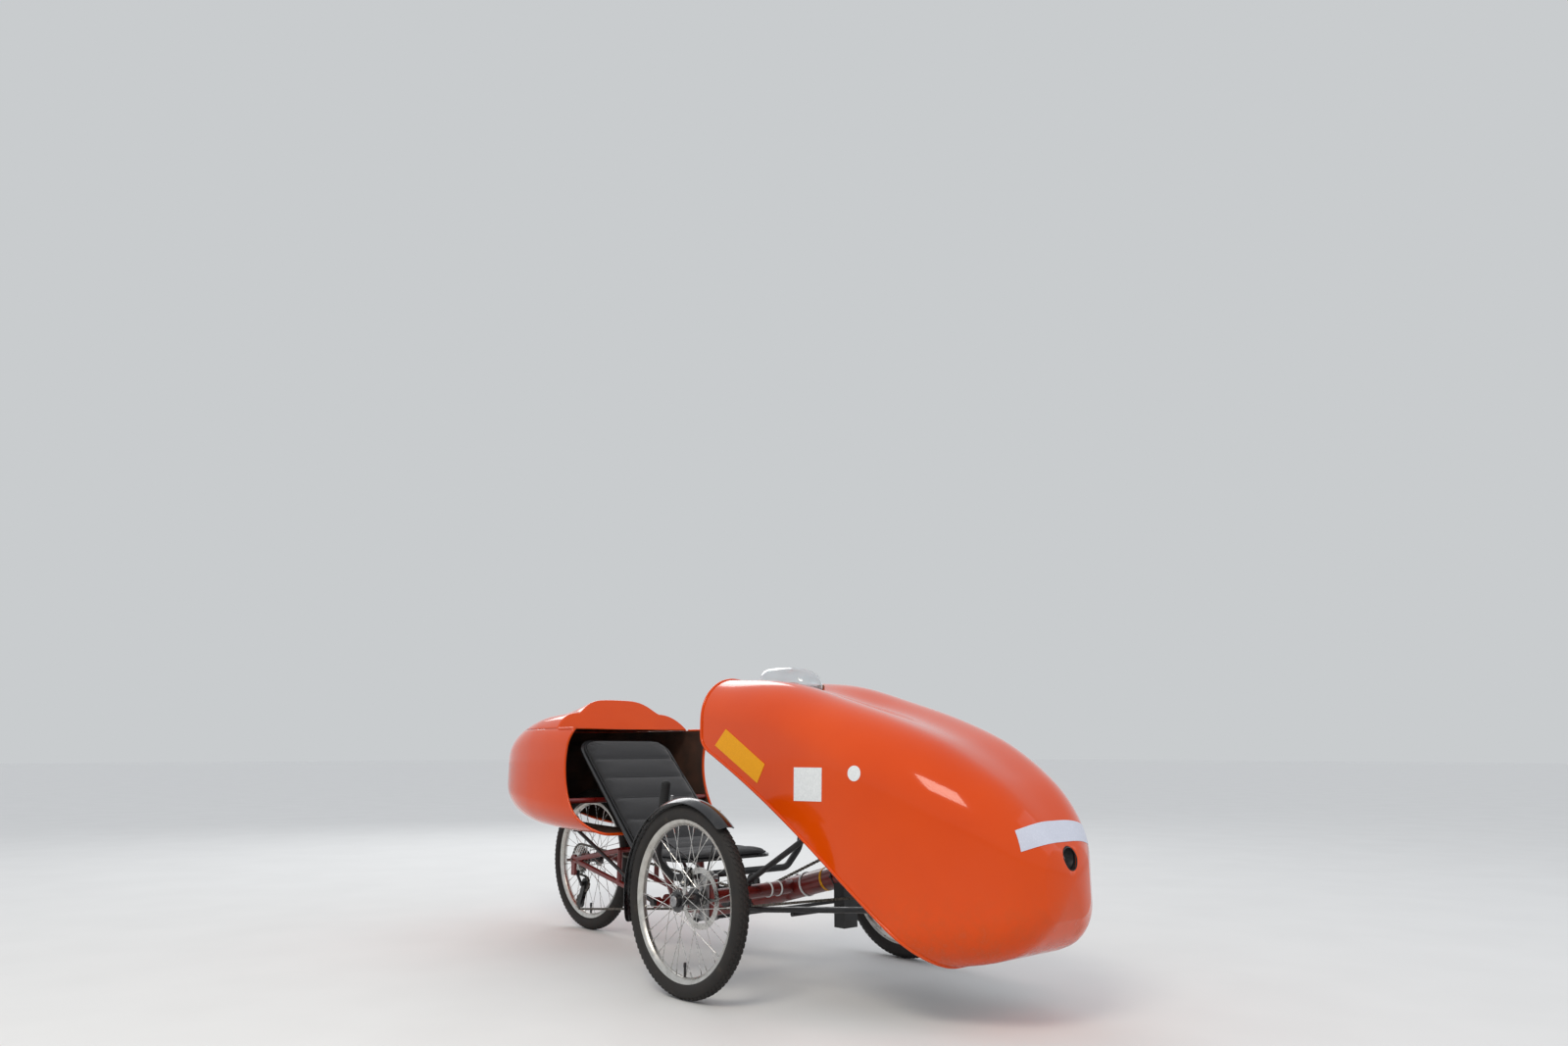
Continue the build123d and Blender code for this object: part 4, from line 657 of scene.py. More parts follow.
def shell(name, verts, faces, replaces, wall=0.005, round_over=0):
    """Thin moulded shell: the surface with its wall inwards, the inside in its own material."""
    part = Shape()
    part.join(verts, faces)
    obj = make(name, part, "frame", [gelcoat, flowcoat], replaces, weld=0.0009, angle=50)
    if round_over:
        bm = bmesh.new()
        bm.from_mesh(obj.data)
        sharp = [e for e in bm.edges if len(e.link_faces) == 2 and e.calc_face_angle(0) > radians(50)]
        bmesh.ops.bevel(bm, geom=sharp, offset=round_over, segments=4, affect="EDGES", profile=0.5,
                clamp_overlap=True)
        bm.to_mesh(obj.data)
        bm.free()
        finish_mesh(obj, 0.0003, 50)
    thick = obj.modifiers.new("wall", "SOLIDIFY")
    thick.thickness = wall
    thick.offset = -1
    thick.material_offset = 1
    thick.material_offset_rim = 0
    thick.use_even_offset = True
    even_light = obj.modifiers.new("normals", "WEIGHTED_NORMAL")
    even_light.mode = "FACE_AREA"
    even_light.keep_sharp = True
    bake(obj)
    return obj


def circle_through(a, b, c):
    """Centre and radius of the circle through three points."""
    d = 2 * (a.x * (b.y - c.y) + b.x * (c.y - a.y) + c.x * (a.y - b.y))
    ux = (a.length_squared * (b.y - c.y) + b.length_squared * (c.y - a.y)
            + c.length_squared * (a.y - b.y)) / d
    uy = (a.length_squared * (c.x - b.x) + b.length_squared * (a.x - c.x)
            + c.length_squared * (b.x - a.x)) / d
    return Vector((ux, uy)), (a - Vector((ux, uy))).length


# Nose: the cut line of its open rear, a lip and a long slant on a shallow arc
LIP_X, LIP_Z = -0.178, 0.655
arc_points = [Vector((-0.150, 0.640)), Vector((0.270, 0.421)), Vector((0.690, 0.132))]
slant_centre, slant_radius = circle_through(*arc_points)


def slant_z(x):
    """Height of the slant's line at x ahead of the front axle."""
    if x < arc_points[0].x:
        return LIP_Z + (x - LIP_X) / (arc_points[0].x - LIP_X) * (arc_points[0].y - LIP_Z)
    side = 1 if arc_points[1].y > slant_centre.y else -1
    x = min(x, arc_points[2].x + 0.05)
    return slant_centre.y + side * sqrt(max(slant_radius**2 - (x - slant_centre.x) ** 2, 0))


LAMP_Z, LAMP_R = 0.390, 0.027
nose_rows = Form(NOSE, nose_ring, 918, 335).cut(lambda p: min(p.x - FX - LIP_X, p.z - slant_z(p.x - FX)), 100)
nose_whole = surface(nose_rows)
nose_v, nose_f = clip(*nose_whole, lambda p: sqrt(p.y**2 + (p.z - LAMP_Z) ** 2) - LAMP_R
        if p.x - FX > 0.6 else 0.1)
shell("nose_shell", nose_v, nose_f, ["nose_fairing"])

# Rolled lip round the nose's open edge and a rubber edging in the lamp hole
lips = Shape()
lips.tube(soften(even(nose_rows[0], 0.010)), 0.0045, sides=12, closed=True)
make("nose_lip", lips, "frame", gelcoat, angle=60)
edging = Shape()
for loop in edge_loops(nose_v, nose_f):
    if loop[0].x > FX + 0.8:
        edging.tube(soften(even([p - Vector((0.0015, 0, 0)) for p in loop], 0.004)), 0.0018, sides=8,
                closed=True)
make("lamp_hole_edging", edging, "frame", rubber)

# Tapes and labels: thin sheets laid on the nose by casting rays at its surface
nose_tree = BVHTree.FromPolygons([tuple(v) for v in nose_whole[0]], nose_whole[1])


def on_nose(start, way):
    """Point and outward normal where a ray meets the nose."""
    way = Vector(way)
    hit, normal = nose_tree.ray_cast(Vector(start), way)[:2]
    outside = -1 if start[0] < FX + 0.75 and abs(start[1]) < 0.2 else 1
    return hit, normal if normal.dot(way) * outside < 0 else -normal


def sticker(name, rays, mat, closed=False):
    """Sheet 1 mm proud of the nose over a grid of rays, its edge tucked 0.6 mm into the gelcoat."""
    tops, lows = [], []
    for row in rays:
        met = [on_nose(start, way) for start, way in row]
        tops.append([hit + normal * 0.0010 for hit, normal in met])
        lows.append([hit - normal * 0.0006 for hit, normal in met])
    if not closed:
        tops = [soften(row, closed=False, rounds=2) for row in tops]
    part = Shape()
    part.rows(tops, around=closed)
    if closed:
        part.rows([lows[-1], tops[-1]])
        part.join(tops[0], [tuple(range(len(tops[0])))])
    else:
        around = [g[0] + [row[-1] for row in g[1:]] + g[-1][-2::-1] + [row[0] for row in g[-2:0:-1]]
                for g in (tops, lows)]
        part.rows(around)
    make(name, part, "frame", mat, weld=0.00005)


def side_grid(corners, side, across, along):
    """Rays square to the side of the nose over a four-cornered patch of (x, z) corners."""
    a, b, c, d = [Vector(p) for p in corners]
    grid = []
    for r in range(across + 1):
        left, right = a.lerp(d, r / across), b.lerp(c, r / across)
        row = [left.lerp(right, k / along) for k in range(along + 1)]
        grid.append([((FX + q.x, side * 0.5, q.y), (0, -side, 0)) for q in row])
    return grid


YELLOW = ((-0.0546, 0.6978), (0.1268, 0.6003), (0.0935, 0.5493), (-0.1068, 0.6516))
for side_name, side in SIDES:
    sticker(f"tape_yellow_{side_name}", side_grid(YELLOW, side, 5, 14), yellow_tape)
sticker("label_plain", side_grid(((0.2525, 0.5935), (0.3625, 0.5940), (0.3605, 0.5090), (0.2515, 0.5075)), -1,
        6, 8), label_face)
disc_rays = []
for r in (0.2, 0.6, 1.0):
    starts = [(FX + 0.4783 + 0.021 * r * cos(a), -0.5, 0.5813 + 0.019 * r * sin(a)) for a in circle(28)]
    disc_rays.append([(start, (0, 1, 0)) for start in starts])
sticker("label_round", disc_rays, label_face, closed=True)
STRIP_HALF, STRIP_TOP, STRIP_TALL = 0.138, 0.4735, 0.0465
strip = []
for r in range(6):
    row = []
    for k in range(41):
        y = STRIP_HALF * (2 * k / 40 - 1)
        droop = 1.4 * max(0, abs(y) - 0.03) ** 2
        row.append(((FX + 0.6, y, STRIP_TOP - droop - STRIP_TALL * r / 5), (1, 0, 0)))
    strip.append(row)
sticker("tape_white_front", strip, white_tape)

# Head lamp behind the hole: housing, bowl, emitter and lens
lamp_low, lamp_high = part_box("head_lamp")
front = Vector((lamp_high.x, 0, LAMP_Z))
lamp = Shape()
lamp.turned([(0.0245, 0), (0.0262, -0.0015), (0.0262, -0.020), (0.0258, -0.021), (0.0258, -0.024),
        (0.0262, -0.025), (0.0262, -0.066), (0.021, -0.077), (0.006, -0.0795), (0.0005, -0.0795),
        (0.0005, -0.077), (0.019, -0.0745), (0.0245, -0.064)], front, "X", 40)
make("lamp_housing", lamp, "frame", satin, ["head_lamp"])
bowl = Shape()
bowl.turned([(0.0243, -0.004), (0.0215, -0.011), (0.016, -0.019), (0.008, -0.0245), (0.0042, -0.0255),
        (0.0042, -0.0268), (0.009, -0.0258), (0.017, -0.020), (0.0225, -0.0115), (0.0244, -0.0075)], front,
        "X", 40)
make("lamp_bowl", bowl, "frame", plastic)
emitter = Shape()
emitter.block(front + Vector((-0.0255, 0, 0)), (0.0015, 0.0032, 0.0032), 0.0003)
make("lamp_emitter", emitter, "frame", yellow_tape)
lens = Shape()
lens.turned([(0.0003, -0.0125), (0.0045, -0.0135), (0.0078, -0.0165), (0.0085, -0.0205), (0.0003, -0.0205)],
        front, "X", 32)
make("lamp_lens", lens, "frame", clear)

# Windscreen: a low blown bubble between the crests, steep behind, drawn out in front, on four feet
screen_low, screen_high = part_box("windscreen")
SCREEN_W = 0.0645


def screen_arc(share, shrink):
    """One arch of the bubble at a share of its length, from rear to front."""
    x = screen_low.x + shrink + (screen_high.x - screen_low.x - 2 * shrink) * share
    rise, fall = min(share / 0.20, 1.0), min(max((share - 0.42) / 0.58, 0.0), 1.0)
    swell = sqrt(min(1 - (1 - rise) ** 2.6, 1 - fall**2.2))
    half = (SCREEN_W - shrink) * (0.30 + 0.70 * swell)
    foot = on_nose((x, half, 1.0), (0, 0, -1))[0].z + 0.0015
    crown = foot + (screen_high.z - shrink - foot) * max(swell, 0.02)
    row = []
    for k in range(25):
        a = pi * k / 24
        y = half * (abs(cos(a)) ** 0.72) * (1 if cos(a) > 0 else -1)
        row.append(Vector((x, y, foot + (crown - foot) * sin(a) ** 0.62)))
    return row


spread = [0.5 - 0.5 * cos(pi * k / 36) for k in range(37)]
outer = [screen_arc(t, 0) for t in spread]
inner = [screen_arc(t, 0.0026) for t in spread]
bubble = Shape()
rims = [[[row[end] for row in face] for face in (outer, inner)] for end in (0, -1)]
for rows in [outer, inner] + rims + [[outer[end], inner[end]] for end in (0, -1)]:
    bubble.rows(rows, around=False)
make("windscreen_bubble", bubble, "frame", clear, ["windscreen"], angle=60)
seal = Shape()
seal.tube(soften(even([row[0] for row in outer] + [row[-1] for row in outer][::-1], 0.006)), 0.0022, sides=8,
        closed=True)
make("windscreen_seal", seal, "frame", rubber)
feet = Shape()
studs = []
for x, foot_y in ((-0.128, 0.066), (0.018, 0.055)):
    for side in (-1, 1):
        foot_z = on_nose((FX + x, side * foot_y, 1.0), (0, 0, -1))[0].z
        lean_in = Euler((side * radians(14), 0, 0)).to_matrix()
        feet.block((FX + x, side * foot_y, foot_z + 0.004), (0.026, 0.012, 0.010), 0.003, lean_in)
        studs.append((Vector((FX + x, side * (foot_y + 0.001), foot_z + 0.0095)), Euler((0, 0, 0))))
make("windscreen_feet", feet, "frame", tan_rubber)

# Tail: front edge on an arc, wheel slot in the floor, a seam between the tub and the lid with its wall
SEAM_Z, SEAM_HALF = 0.712, 0.0009
front_centre, front_radius = circle_through(Vector((-0.716, 0.366)), Vector((-0.868, 0.600)),
        Vector((-0.835, SEAM_Z)))


def tub_front(z):
    """x of the tub's front edge at height z."""
    return front_centre.x - sqrt(max(front_radius**2 - (min(z, SEAM_Z) - front_centre.y) ** 2, 0))


def lid_front(z):
    """x of the lid's sloping front wall at height z."""
    return -0.950 - 0.080 * (z - SEAM_Z) / (0.850 - SEAM_Z)


tail_form = Form(TAIL, tail_ring, -1590, 553)
tub_v, tub_f = surface(tail_form.cut(lambda p: tub_front(p.z) - (p.x - FX), 90))
tub_v, tub_f = clip(tub_v, tub_f, lambda p: max(abs(p.y) - 0.058, -1.4 - (p.x - FX), p.z - 0.48))
tub_v, tub_f = clip(tub_v, tub_f, lambda p: SEAM_Z - SEAM_HALF - p.z)
shell("tail_tub_shell", tub_v, tub_f, ["tail_tub"])
lid_low = SEAM_Z + SEAM_HALF
lid_rows = tail_form.cut(lambda p: lid_front(p.z) - (p.x - FX), 56)
lid_v, lid_f = clip(*surface(lid_rows), lambda p: p.z - lid_low, held=len(lid_rows[0]))
brow = []
for a, b in zip(lid_rows[0], lid_rows[0][1:] + lid_rows[0][:1]):
    if a.z >= lid_low:
        brow.append(a)
    if (a.z >= lid_low) != (b.z >= lid_low):
        brow.append(a.lerp(b, (lid_low - a.z) / (b.z - a.z)))
middle = Vector((FX + lid_front(lid_low), 0, lid_low))
wall = [[p.lerp(middle, t) for p in brow] for t in (0, 0.3, 0.6)]
n = len(brow)
wall_faces = [(r * n + i, r * n + i + 1, (r + 1) * n + i + 1, (r + 1) * n + i) for r in range(2)
        for i in range(n - 1)]
wall_faces += [(2 * n + i, 2 * n + i + 1, 3 * n) for i in range(n - 1)]
base = len(lid_v)
lid_v += [p for row in wall for p in row] + [middle]
lid_f += [tuple(base + i for i in f) for f in wall_faces]
shell("tail_lid_shell", lid_v, lid_f, ["tail_lid"], round_over=0.005)

# Rolled lip round the tub's front edge, its open rim ahead of the lid and the wheel slot
lips = Shape()
for loop in edge_loops(tub_v, tub_f):
    for run in runs(loop, lambda p: p.z < 0.705 or p.x > FX + lid_front(SEAM_Z) + 0.004):
        lips.tube(soften(even(run, 0.010, closed=False), closed=False), 0.0045, sides=12)
make("tail_lip", lips, "frame", gelcoat, angle=60)


# Wheels
# Hub profiles as (radius, along) from the side of their disc or sprockets, and half a rim as (depth, along)
# from its edge inwards
RIM_R = 0.2115
TYRE_W = 0.045
FLANGES = [(0.029, -0.0300), (0.029, -0.0262), (0.017, -0.025), (0.0135, -0.008), (0.0135, 0.008),
        (0.017, 0.025), (0.029, 0.0262), (0.029, 0.0300)]
FRONT_HUB = [(0.0105, -0.046), (0.0205, -0.046), (0.0205, -0.036), (0.017, -0.034),
        (0.017, -0.0305)] + FLANGES + [(0.0175, 0.0305), (0.0175, 0.0365), (0.0105, 0.0365)]
REAR_HUB = [(0.0065, -0.040), (0.017, -0.040), (0.018, -0.036),
        (0.018, -0.0305)] + FLANGES + [(0.017, 0.0305), (0.016, 0.038), (0.0065, 0.038)]
RIM_SIDE = [(0, 0.0128), (0.0008, 0.0134), (0.0035, 0.0134), (0.0042, 0.0126), (0.011, 0.0126),
        (0.0125, 0.0116), (0.0185, 0.0062), (0.0195, 0.004)]
for wheel, x, y, outer in (("front_right", FX, -TRACK_Y, -1), ("front_left", FX, TRACK_Y, 1),
        ("rear", RX, 0.0, 1)):
    body = f"wheel_{wheel}"
    c = Vector((x, y, WHEEL_R))
    # Tyre casing: round crown, bulged sidewalls and two raised lines by the rim on each side
    casing = Shape()
    round_r = TYRE_W / 2 - 0.0008
    turns = [radians(142 * (k / 20 - 1)) for k in range(41)]
    profile = [(WHEEL_R - TYRE_W / 2 - 0.0008 + round_r * cos(a), round_r * sin(a)) for a in turns]
    casing.turned([(RIM_R + 0.0006, -0.0125)] + profile + [(RIM_R + 0.0006, 0.0125)], c, steps=96)
    for side in (-1, 1):
        for r in (RIM_R + 0.004, RIM_R + 0.0065):
            line = [c + Vector((r * cos(a), side * 0.0146, r * sin(a))) for a in circle(96)]
            casing.tube(line, 0.0007, sides=6, closed=True)
    make(f"tyre_casing_{wheel}", casing, body, rubber, [f"tyre_{wheel}"])
    # Tread: slanted blocks in four rows
    block = Shape()
    block.block((0, 0, 0), (0.0019, 0.0062, 0.0125), edge=0.0005, turn=Euler((radians(24), 0, 0)).to_matrix())
    places = []
    count = 92
    for row, offset in enumerate((-0.0125, -0.0042, 0.0042, 0.0125)):
        tilt = math.asin(offset / (TYRE_W / 2))
        r = WHEEL_R - TYRE_W / 2 + (TYRE_W / 2 - 0.0011) * cos(tilt)
        flip = 0 if row < 2 else pi
        for k in range(count):
            a = 2 * pi * (k + 0.5 * (row % 2)) / count
            turn = Matrix.Rotation(-a, 3, "Y") @ Matrix.Rotation(tilt, 3, "Z") @ Matrix.Rotation(flip, 3, "X")
            places.append((c + Vector((r * cos(a), offset, r * sin(a))), turn.to_euler()))
    copies(f"tyre_tread_{wheel}", block, places, body, rubber)
    # Rim: box section with a thicker edge
    rim = Shape()
    rim.turned([(RIM_R - d, y) for d, y in RIM_SIDE] + [(RIM_R - d, -y) for d, y in RIM_SIDE[::-1]], c,
            steps=120)
    make(f"rim_section_{wheel}", rim, body, rim_metal, [f"rim_{wheel}"], angle=50)
    # Hub body with its flanges, and a cap on each front one
    hub = Shape()
    hub.turned(REAR_HUB if wheel == "rear" else [(r, outer * y) for r, y in FRONT_HUB], c, steps=48)
    if wheel != "rear":
        cap = Shape()
        cap.turned([(0.0001, 0), (0.0135, 0), (0.014, outer * 0.0012), (0.014, outer * 0.0052),
                (0.0125, outer * 0.0066), (0.006, outer * 0.0068), (0.0052, outer * 0.0052),
                (0.0001, outer * 0.0052)], c + Vector((0, outer * 0.0372, 0)), steps=36, closed=False)
        make(f"hub_cap_{wheel}", cap, body, forged, angle=30)
    make(f"hub_body_{wheel}", hub, body, anodised, [f"hub_{wheel}"], angle=30)
    # Spokes: bent at the flange, straight to the nipple, laced over each other
    lead = radians(60)
    for side in (-1, 1):
        for trail in (-1, 1):
            spoke = Shape()
            r0, r1 = 0.0262, RIM_R - 0.0195
            y0 = side * (0.0281 + 0.0021 * trail)
            start = Vector((r0, y0, 0))
            end = Vector((r1 * cos(lead * trail), side * 0.003, r1 * sin(lead * trail)))
            near = start.lerp(end, 0.03)
            spoke.tube([Vector((r0, side * (0.0281 - 0.003 * trail), 0)), Vector((r0, side * 0.0281, 0)),
                    start.lerp(end, 0.008), near, end], 0.001, sides=6)
            spoke.tube([start.lerp(end, 0.925), start.lerp(end, 0.93), end], 0.0019, sides=6)
            shift = 2 * pi * ((0.5 if trail > 0 else 0) + (0.25 if side > 0 else 0)) / 9
            spots = [(c, Euler((0, -a - shift, 0))) for a in circle(9)]
            group = ("l" if side > 0 else "r") + ("a" if trail > 0 else "b")
            copies(f"spokes_{wheel}_{group}", spoke, spots, body, stainless)
    # Valve
    valve = Shape()
    base = c + Vector((0, 0, -(RIM_R - 0.019)))
    valve.tube([base, base + Vector((0, 0, 0.024))], 0.0032, sides=10)
    valve.tube([base + Vector((0, 0, 0.024)), base + Vector((0, 0, 0.034)), base + Vector((0, 0, 0.036))],
            [0.0042, 0.0042, 0.003], sides=10)
    make(f"valve_{wheel}", valve, body, satin)


# Fittings
def rounded(corners, radius, steps=8):
    """Line through corners with each inner corner bent to a radius."""
    pts = [Vector(c) for c in corners]
    out = [pts[0]]
    for a, b, c in zip(pts, pts[1:], pts[2:]):
        u, w = (a - b).normalized(), (c - b).normalized()
        half = u.angle(w) / 2
        back = radius / math.tan(half)
        centre = b + (u + w).normalized() * radius / sin(half)
        p0, p1 = b + u * back - centre, b + w * back - centre
        out += [centre + p0.slerp(p1, k / steps) * radius for k in range(steps + 1)]
    return out + [pts[-1]]


# Fasteners: hexagon head with its washer, standing on +Z
bolt = Shape()
bolt.turned([(0.0001, 0.0052), (0.0036, 0.0052), (0.0044, 0.0044), (0.0044, 0.0012), (0.0066, 0.0012),
        (0.0068, 0.0008), (0.0068, 0), (0.0001, 0)], (0, 0, 0), "Z", 6, closed=False)


def bolts(name, places, body):
    """Bolt heads at (point relative to the front axle in mm, direction) places."""
    spots = []
    for point, way in places:
        at = Vector((FX + point[0] / 1000, point[1] / 1000, point[2] / 1000))
        spots.append((at, Vector(way).to_track_quat("Z", "Y").to_euler()))
    copies(name, bolt, spots, body, stainless)


bolts("bolts_frame", [((-330, 0, 283), (0, 0, 1)), ((-235, -58.5, 221), (0, -1, 0)),
        ((-845, 24, 300), (0, 1, 0)), ((-845, -24, 300), (0, -1, 0)), ((-780, 20, 322), (0, 1, 0)),
        ((-780, -20, 322), (0, -1, 0)), ((-30, 0, 276), (0, 0, 1))], "frame")
for side_name, side in SIDES:
    bolts(f"bolts_knuckle_{side_name}", [((0, side * 345, 311), (0, 0, 1)),
            ((-70, side * 345, 217 if side > 0 else 190), (0, 0, 1)),
            ((-73.3, side * 383.5, 312), (-0.629, 0, 0.777)), ((-62, side * 394.5, 284), (0, side, 0)),
            ((-62, side * 394.5, 312), (0, side, 0))], f"knuckle_{side_name}")

# Button-head screws: six on each brake disc, one on each windscreen foot
button = Shape()
button.turned([(0.0001, 0.0009), (0.0011, 0.0009), (0.0014, 0.0019), (0.0026, 0.0015), (0.0034, 0.0006),
        (0.0035, 0), (0.0001, 0)], (0, 0, 0), "Z", 12, closed=False)
copies("windscreen_screws", button, studs, "frame", stainless)
for side_name, side in SIDES:
    inward = Vector((0, -side, 0)).to_track_quat("Z", "Y").to_euler()
    ring = [(Vector((FX + 0.022 * cos(pi * k / 3), side * 0.3828, WHEEL_R + 0.022 * sin(pi * k / 3))),
            inward) for k in range(6)]
    copies(f"disc_screws_{side_name}", button, ring, f"wheel_front_{side_name}", stainless)

# Mudguards: a smooth crowned strip with rounded ends on two wire stays, a screw where each stay meets it
GUARD_R = WHEEL_R + 0.014
for side_name, side in SIDES:
    middle = Vector((FX, side * 0.431, WHEEL_R))
    boss = Vector((FX, side * 0.362, WHEEL_R + 0.0583))
    guard = Shape()
    rows = []
    for k in range(121):
        along = (1 - cos(pi * k / 120)) / 2
        a = radians(42 - 150 * along)
        near = min(along, 1 - along) * radians(150) * GUARD_R
        half = 0.015 + sqrt(0.014**2 - max(0.014 - near, 0) ** 2)
        away = Vector((sin(a), 0, cos(a)))
        across = [half * (j / 6 - 1) for j in range(13)]
        row = [middle + Vector((0, y, 0)) + away * (GUARD_R + 0.0025 - 0.012 * (y / 0.029) ** 2)
                for y in across]
        rows.append(row + [middle + Vector((0, y, 0)) + away * (GUARD_R - 0.012 * (y / 0.029) ** 2)
                for y in across[::-1]])
    guard.rows(rows, cap=True)
    guard.turned([(0.0001, 0), (0.006, 0), (0.006, 0.0082), (0.0052, 0.009), (0.0001, 0.009)], boss, "Z", 24,
            closed=False)
    screws = []
    for angle in (25, -50):
        away = Vector((sin(radians(angle)), 0, cos(radians(angle))))
        inner_edge = middle + Vector((0, side * -0.028, 0)) + away * (GUARD_R - 0.01075)
        guard.tube([boss + Vector((0, 0, 0.005)), inner_edge], 0.0025, sides=12)
        screws.append((middle + Vector((0, side * -0.023, 0)) + away * (GUARD_R - 0.0050),
                away.to_track_quat("Z", "Y").to_euler()))
    make(f"mudguard_shell_{side_name}", guard, f"knuckle_{side_name}", guard_plastic,
            [f"mudguard_{side_name}"])
    copies(f"mudguard_screws_{side_name}", button, screws, f"knuckle_{side_name}", stainless)
    # Caliper: round piston cover on its inner face, beside the lug
    cover = Shape()
    cover.turned([(0.0001, side * -0.0028), (0.0032, side * -0.0028), (0.0038, side * -0.0020),
            (0.0072, side * -0.0020), (0.0081, side * -0.0012), (0.0081, side * 0.001),
            (0.0001, side * 0.001)], (FX - 0.0676, side * 0.3733, WHEEL_R + 0.0548), "Y", 32, closed=False)
    make(f"caliper_cover_{side_name}", cover, f"knuckle_{side_name}", forged, angle=30)

# Rear lamp: black rim with a domed red lens
lamp_low, lamp_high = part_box("tail_lamp")
rear_end = Vector((lamp_low.x, 0, (lamp_low.z + lamp_high.z) / 2))
rim = Shape()
rim.turned([(0.0205, 0.0042), (0.0228, 0.0036), (0.0240, 0.0052), (0.0240, 0.0148), (0.0205, 0.0148)],
        rear_end, "X", 40)
make("tail_lamp_rim", rim, "frame", satin, ["tail_lamp"])
lens = Shape()
lens.turned([(0.0003, 0), (0.008, 0.0004), (0.015, 0.0016), (0.0205, 0.0040), (0.0205, 0.0146),
        (0.0003, 0.0146)], rear_end, "X", 40)
make("tail_lamp_lens", lens, "frame", red_lens)

# Boom: cable ties with their heads, a yellow reflective band, and pale strap loops, also round the cross
# member
BOOM_R, BOOM_SLOPE = 0.032, 0.26
ON_TUBE = 0.0002
boom_way = Vector((1, 0, BOOM_SLOPE)).normalized()


def boom_at(x):
    """Middle of the boom at x ahead of the front axle."""
    return Vector((FX + x, 0, 0.252 + BOOM_SLOPE * x))


def hoop(part, centre, way, radius, width, thick, steps=36):
    """Flat band round a tube that runs through centre along way."""
    side = way.orthogonal().normalized()
    up = way.cross(side)
    rows = []
    for a in circle(steps):
        out_way = side * cos(a) + up * sin(a)
        rows.append([centre + out_way * (radius + r) + way * w
                for r, w in ((0, -width / 2), (thick, -width / 2 + thick * 0.3),
                (thick, width / 2 - thick * 0.3), (0, width / 2))])
    part.rows(rows, around=True, along=True)


ties = Shape()
for x in (-0.385, -0.205, 0.145, 0.235, 0.365):
    hoop(ties, boom_at(x), boom_way, BOOM_R + ON_TUBE, 0.0048, 0.0013)
    ties.block(boom_at(x) + Vector((0, -BOOM_R - 0.0028, 0)), (0.0085, 0.0055, 0.0065), 0.0012,
            Matrix.Rotation(-math.atan(BOOM_SLOPE), 3, "Y"))
make("boom_ties", ties, "frame", plastic)
bands = Shape()
hoop(bands, boom_at(0.100), boom_way, BOOM_R + ON_TUBE, 0.008, 0.0008)
make("boom_band_yellow", bands, "frame", yellow_tape)
straps = Shape()
for x in (0.016, 0.290):
    hoop(straps, boom_at(x), boom_way, BOOM_R + ON_TUBE, 0.0060, 0.0024)
for side in (-1, 1):
    tube_way = Vector((0.030, side * KINGPIN_Y, 0)).normalized()
    for y in (0.085, 0.125):
        hoop(straps, Vector((FX - 0.030 + 0.030 * y / KINGPIN_Y, side * y, WHEEL_R)), tube_way, 0.0192,
                0.0050, 0.0024)
make("boom_straps", straps, "frame", label_face)

# Weld beads: rippled rings where tubes meet
welds = Shape()


def bead(centre, way, radius, size=0.0021):
    """Rippled weld ring of a tube's radius about a centre."""
    centre, way = Vector(centre), Vector(way).normalized()
    side = way.orthogonal().normalized()
    up = way.cross(side)
    n = 72
    ring_points = [centre + (side * cos(a) + up * sin(a)) * radius for a in circle(n)]
    welds.tube(ring_points, [size * (1 + 0.18 * (k % 3 - 1)) for k in range(n)], sides=6, closed=True)


bead(boom_at(-0.418), boom_way, BOOM_R + ON_TUBE)
bead(boom_at(0.414), boom_way, BOOM_R + ON_TUBE)
for side in (-1, 1):
    bead((FX - 0.030, side * 0.0345, 0.247), (0.02, side, 0.04), 0.0196)
make("weld_beads", welds, "frame", powder)

# Handlebar: one bent tube on a sleeve with its steering arm
lean = 0.035
bar_x = -0.330
bar = Shape()
half_path = [Vector((FX + bar_x + lean, 0.290, 0.545)), Vector((FX + bar_x, 0.290, 0.322)),
        Vector((FX + bar_x, 0.230, 0.262))]
bar.tube(rounded(half_path + [Vector((p.x, -p.y, p.z)) for p in half_path[::-1]], 0.045, 10), 0.011, sides=20)
bar.turned([(0.0093, -0.014), (0.0150, -0.014), (0.0150, 0.014), (0.0093, 0.014)], (FX + bar_x, 0, 0.262),
        "Z", 32)
half_turn = [pi * k / 8 - pi / 2 for k in range(9)]
outline = [(0.006 * cos(a), 0.008 * sin(a)) for a in half_turn]
outline += [(-0.070 - 0.008 * cos(a), 0.008 * sin(a)) for a in half_turn[::-1]]
arm = [[Vector((FX + bar_x + x, y, z)) for x, y in outline] for z in (0.248, 0.2565)]
bar.rows(arm, cap=True)
bar.tube([(FX + bar_x - 0.070, 0, 0.2022), (FX + bar_x - 0.070, 0, 0.250)], 0.004, sides=16)
make("handlebar_tube", bar, "handlebar", satin, ["handlebar"])

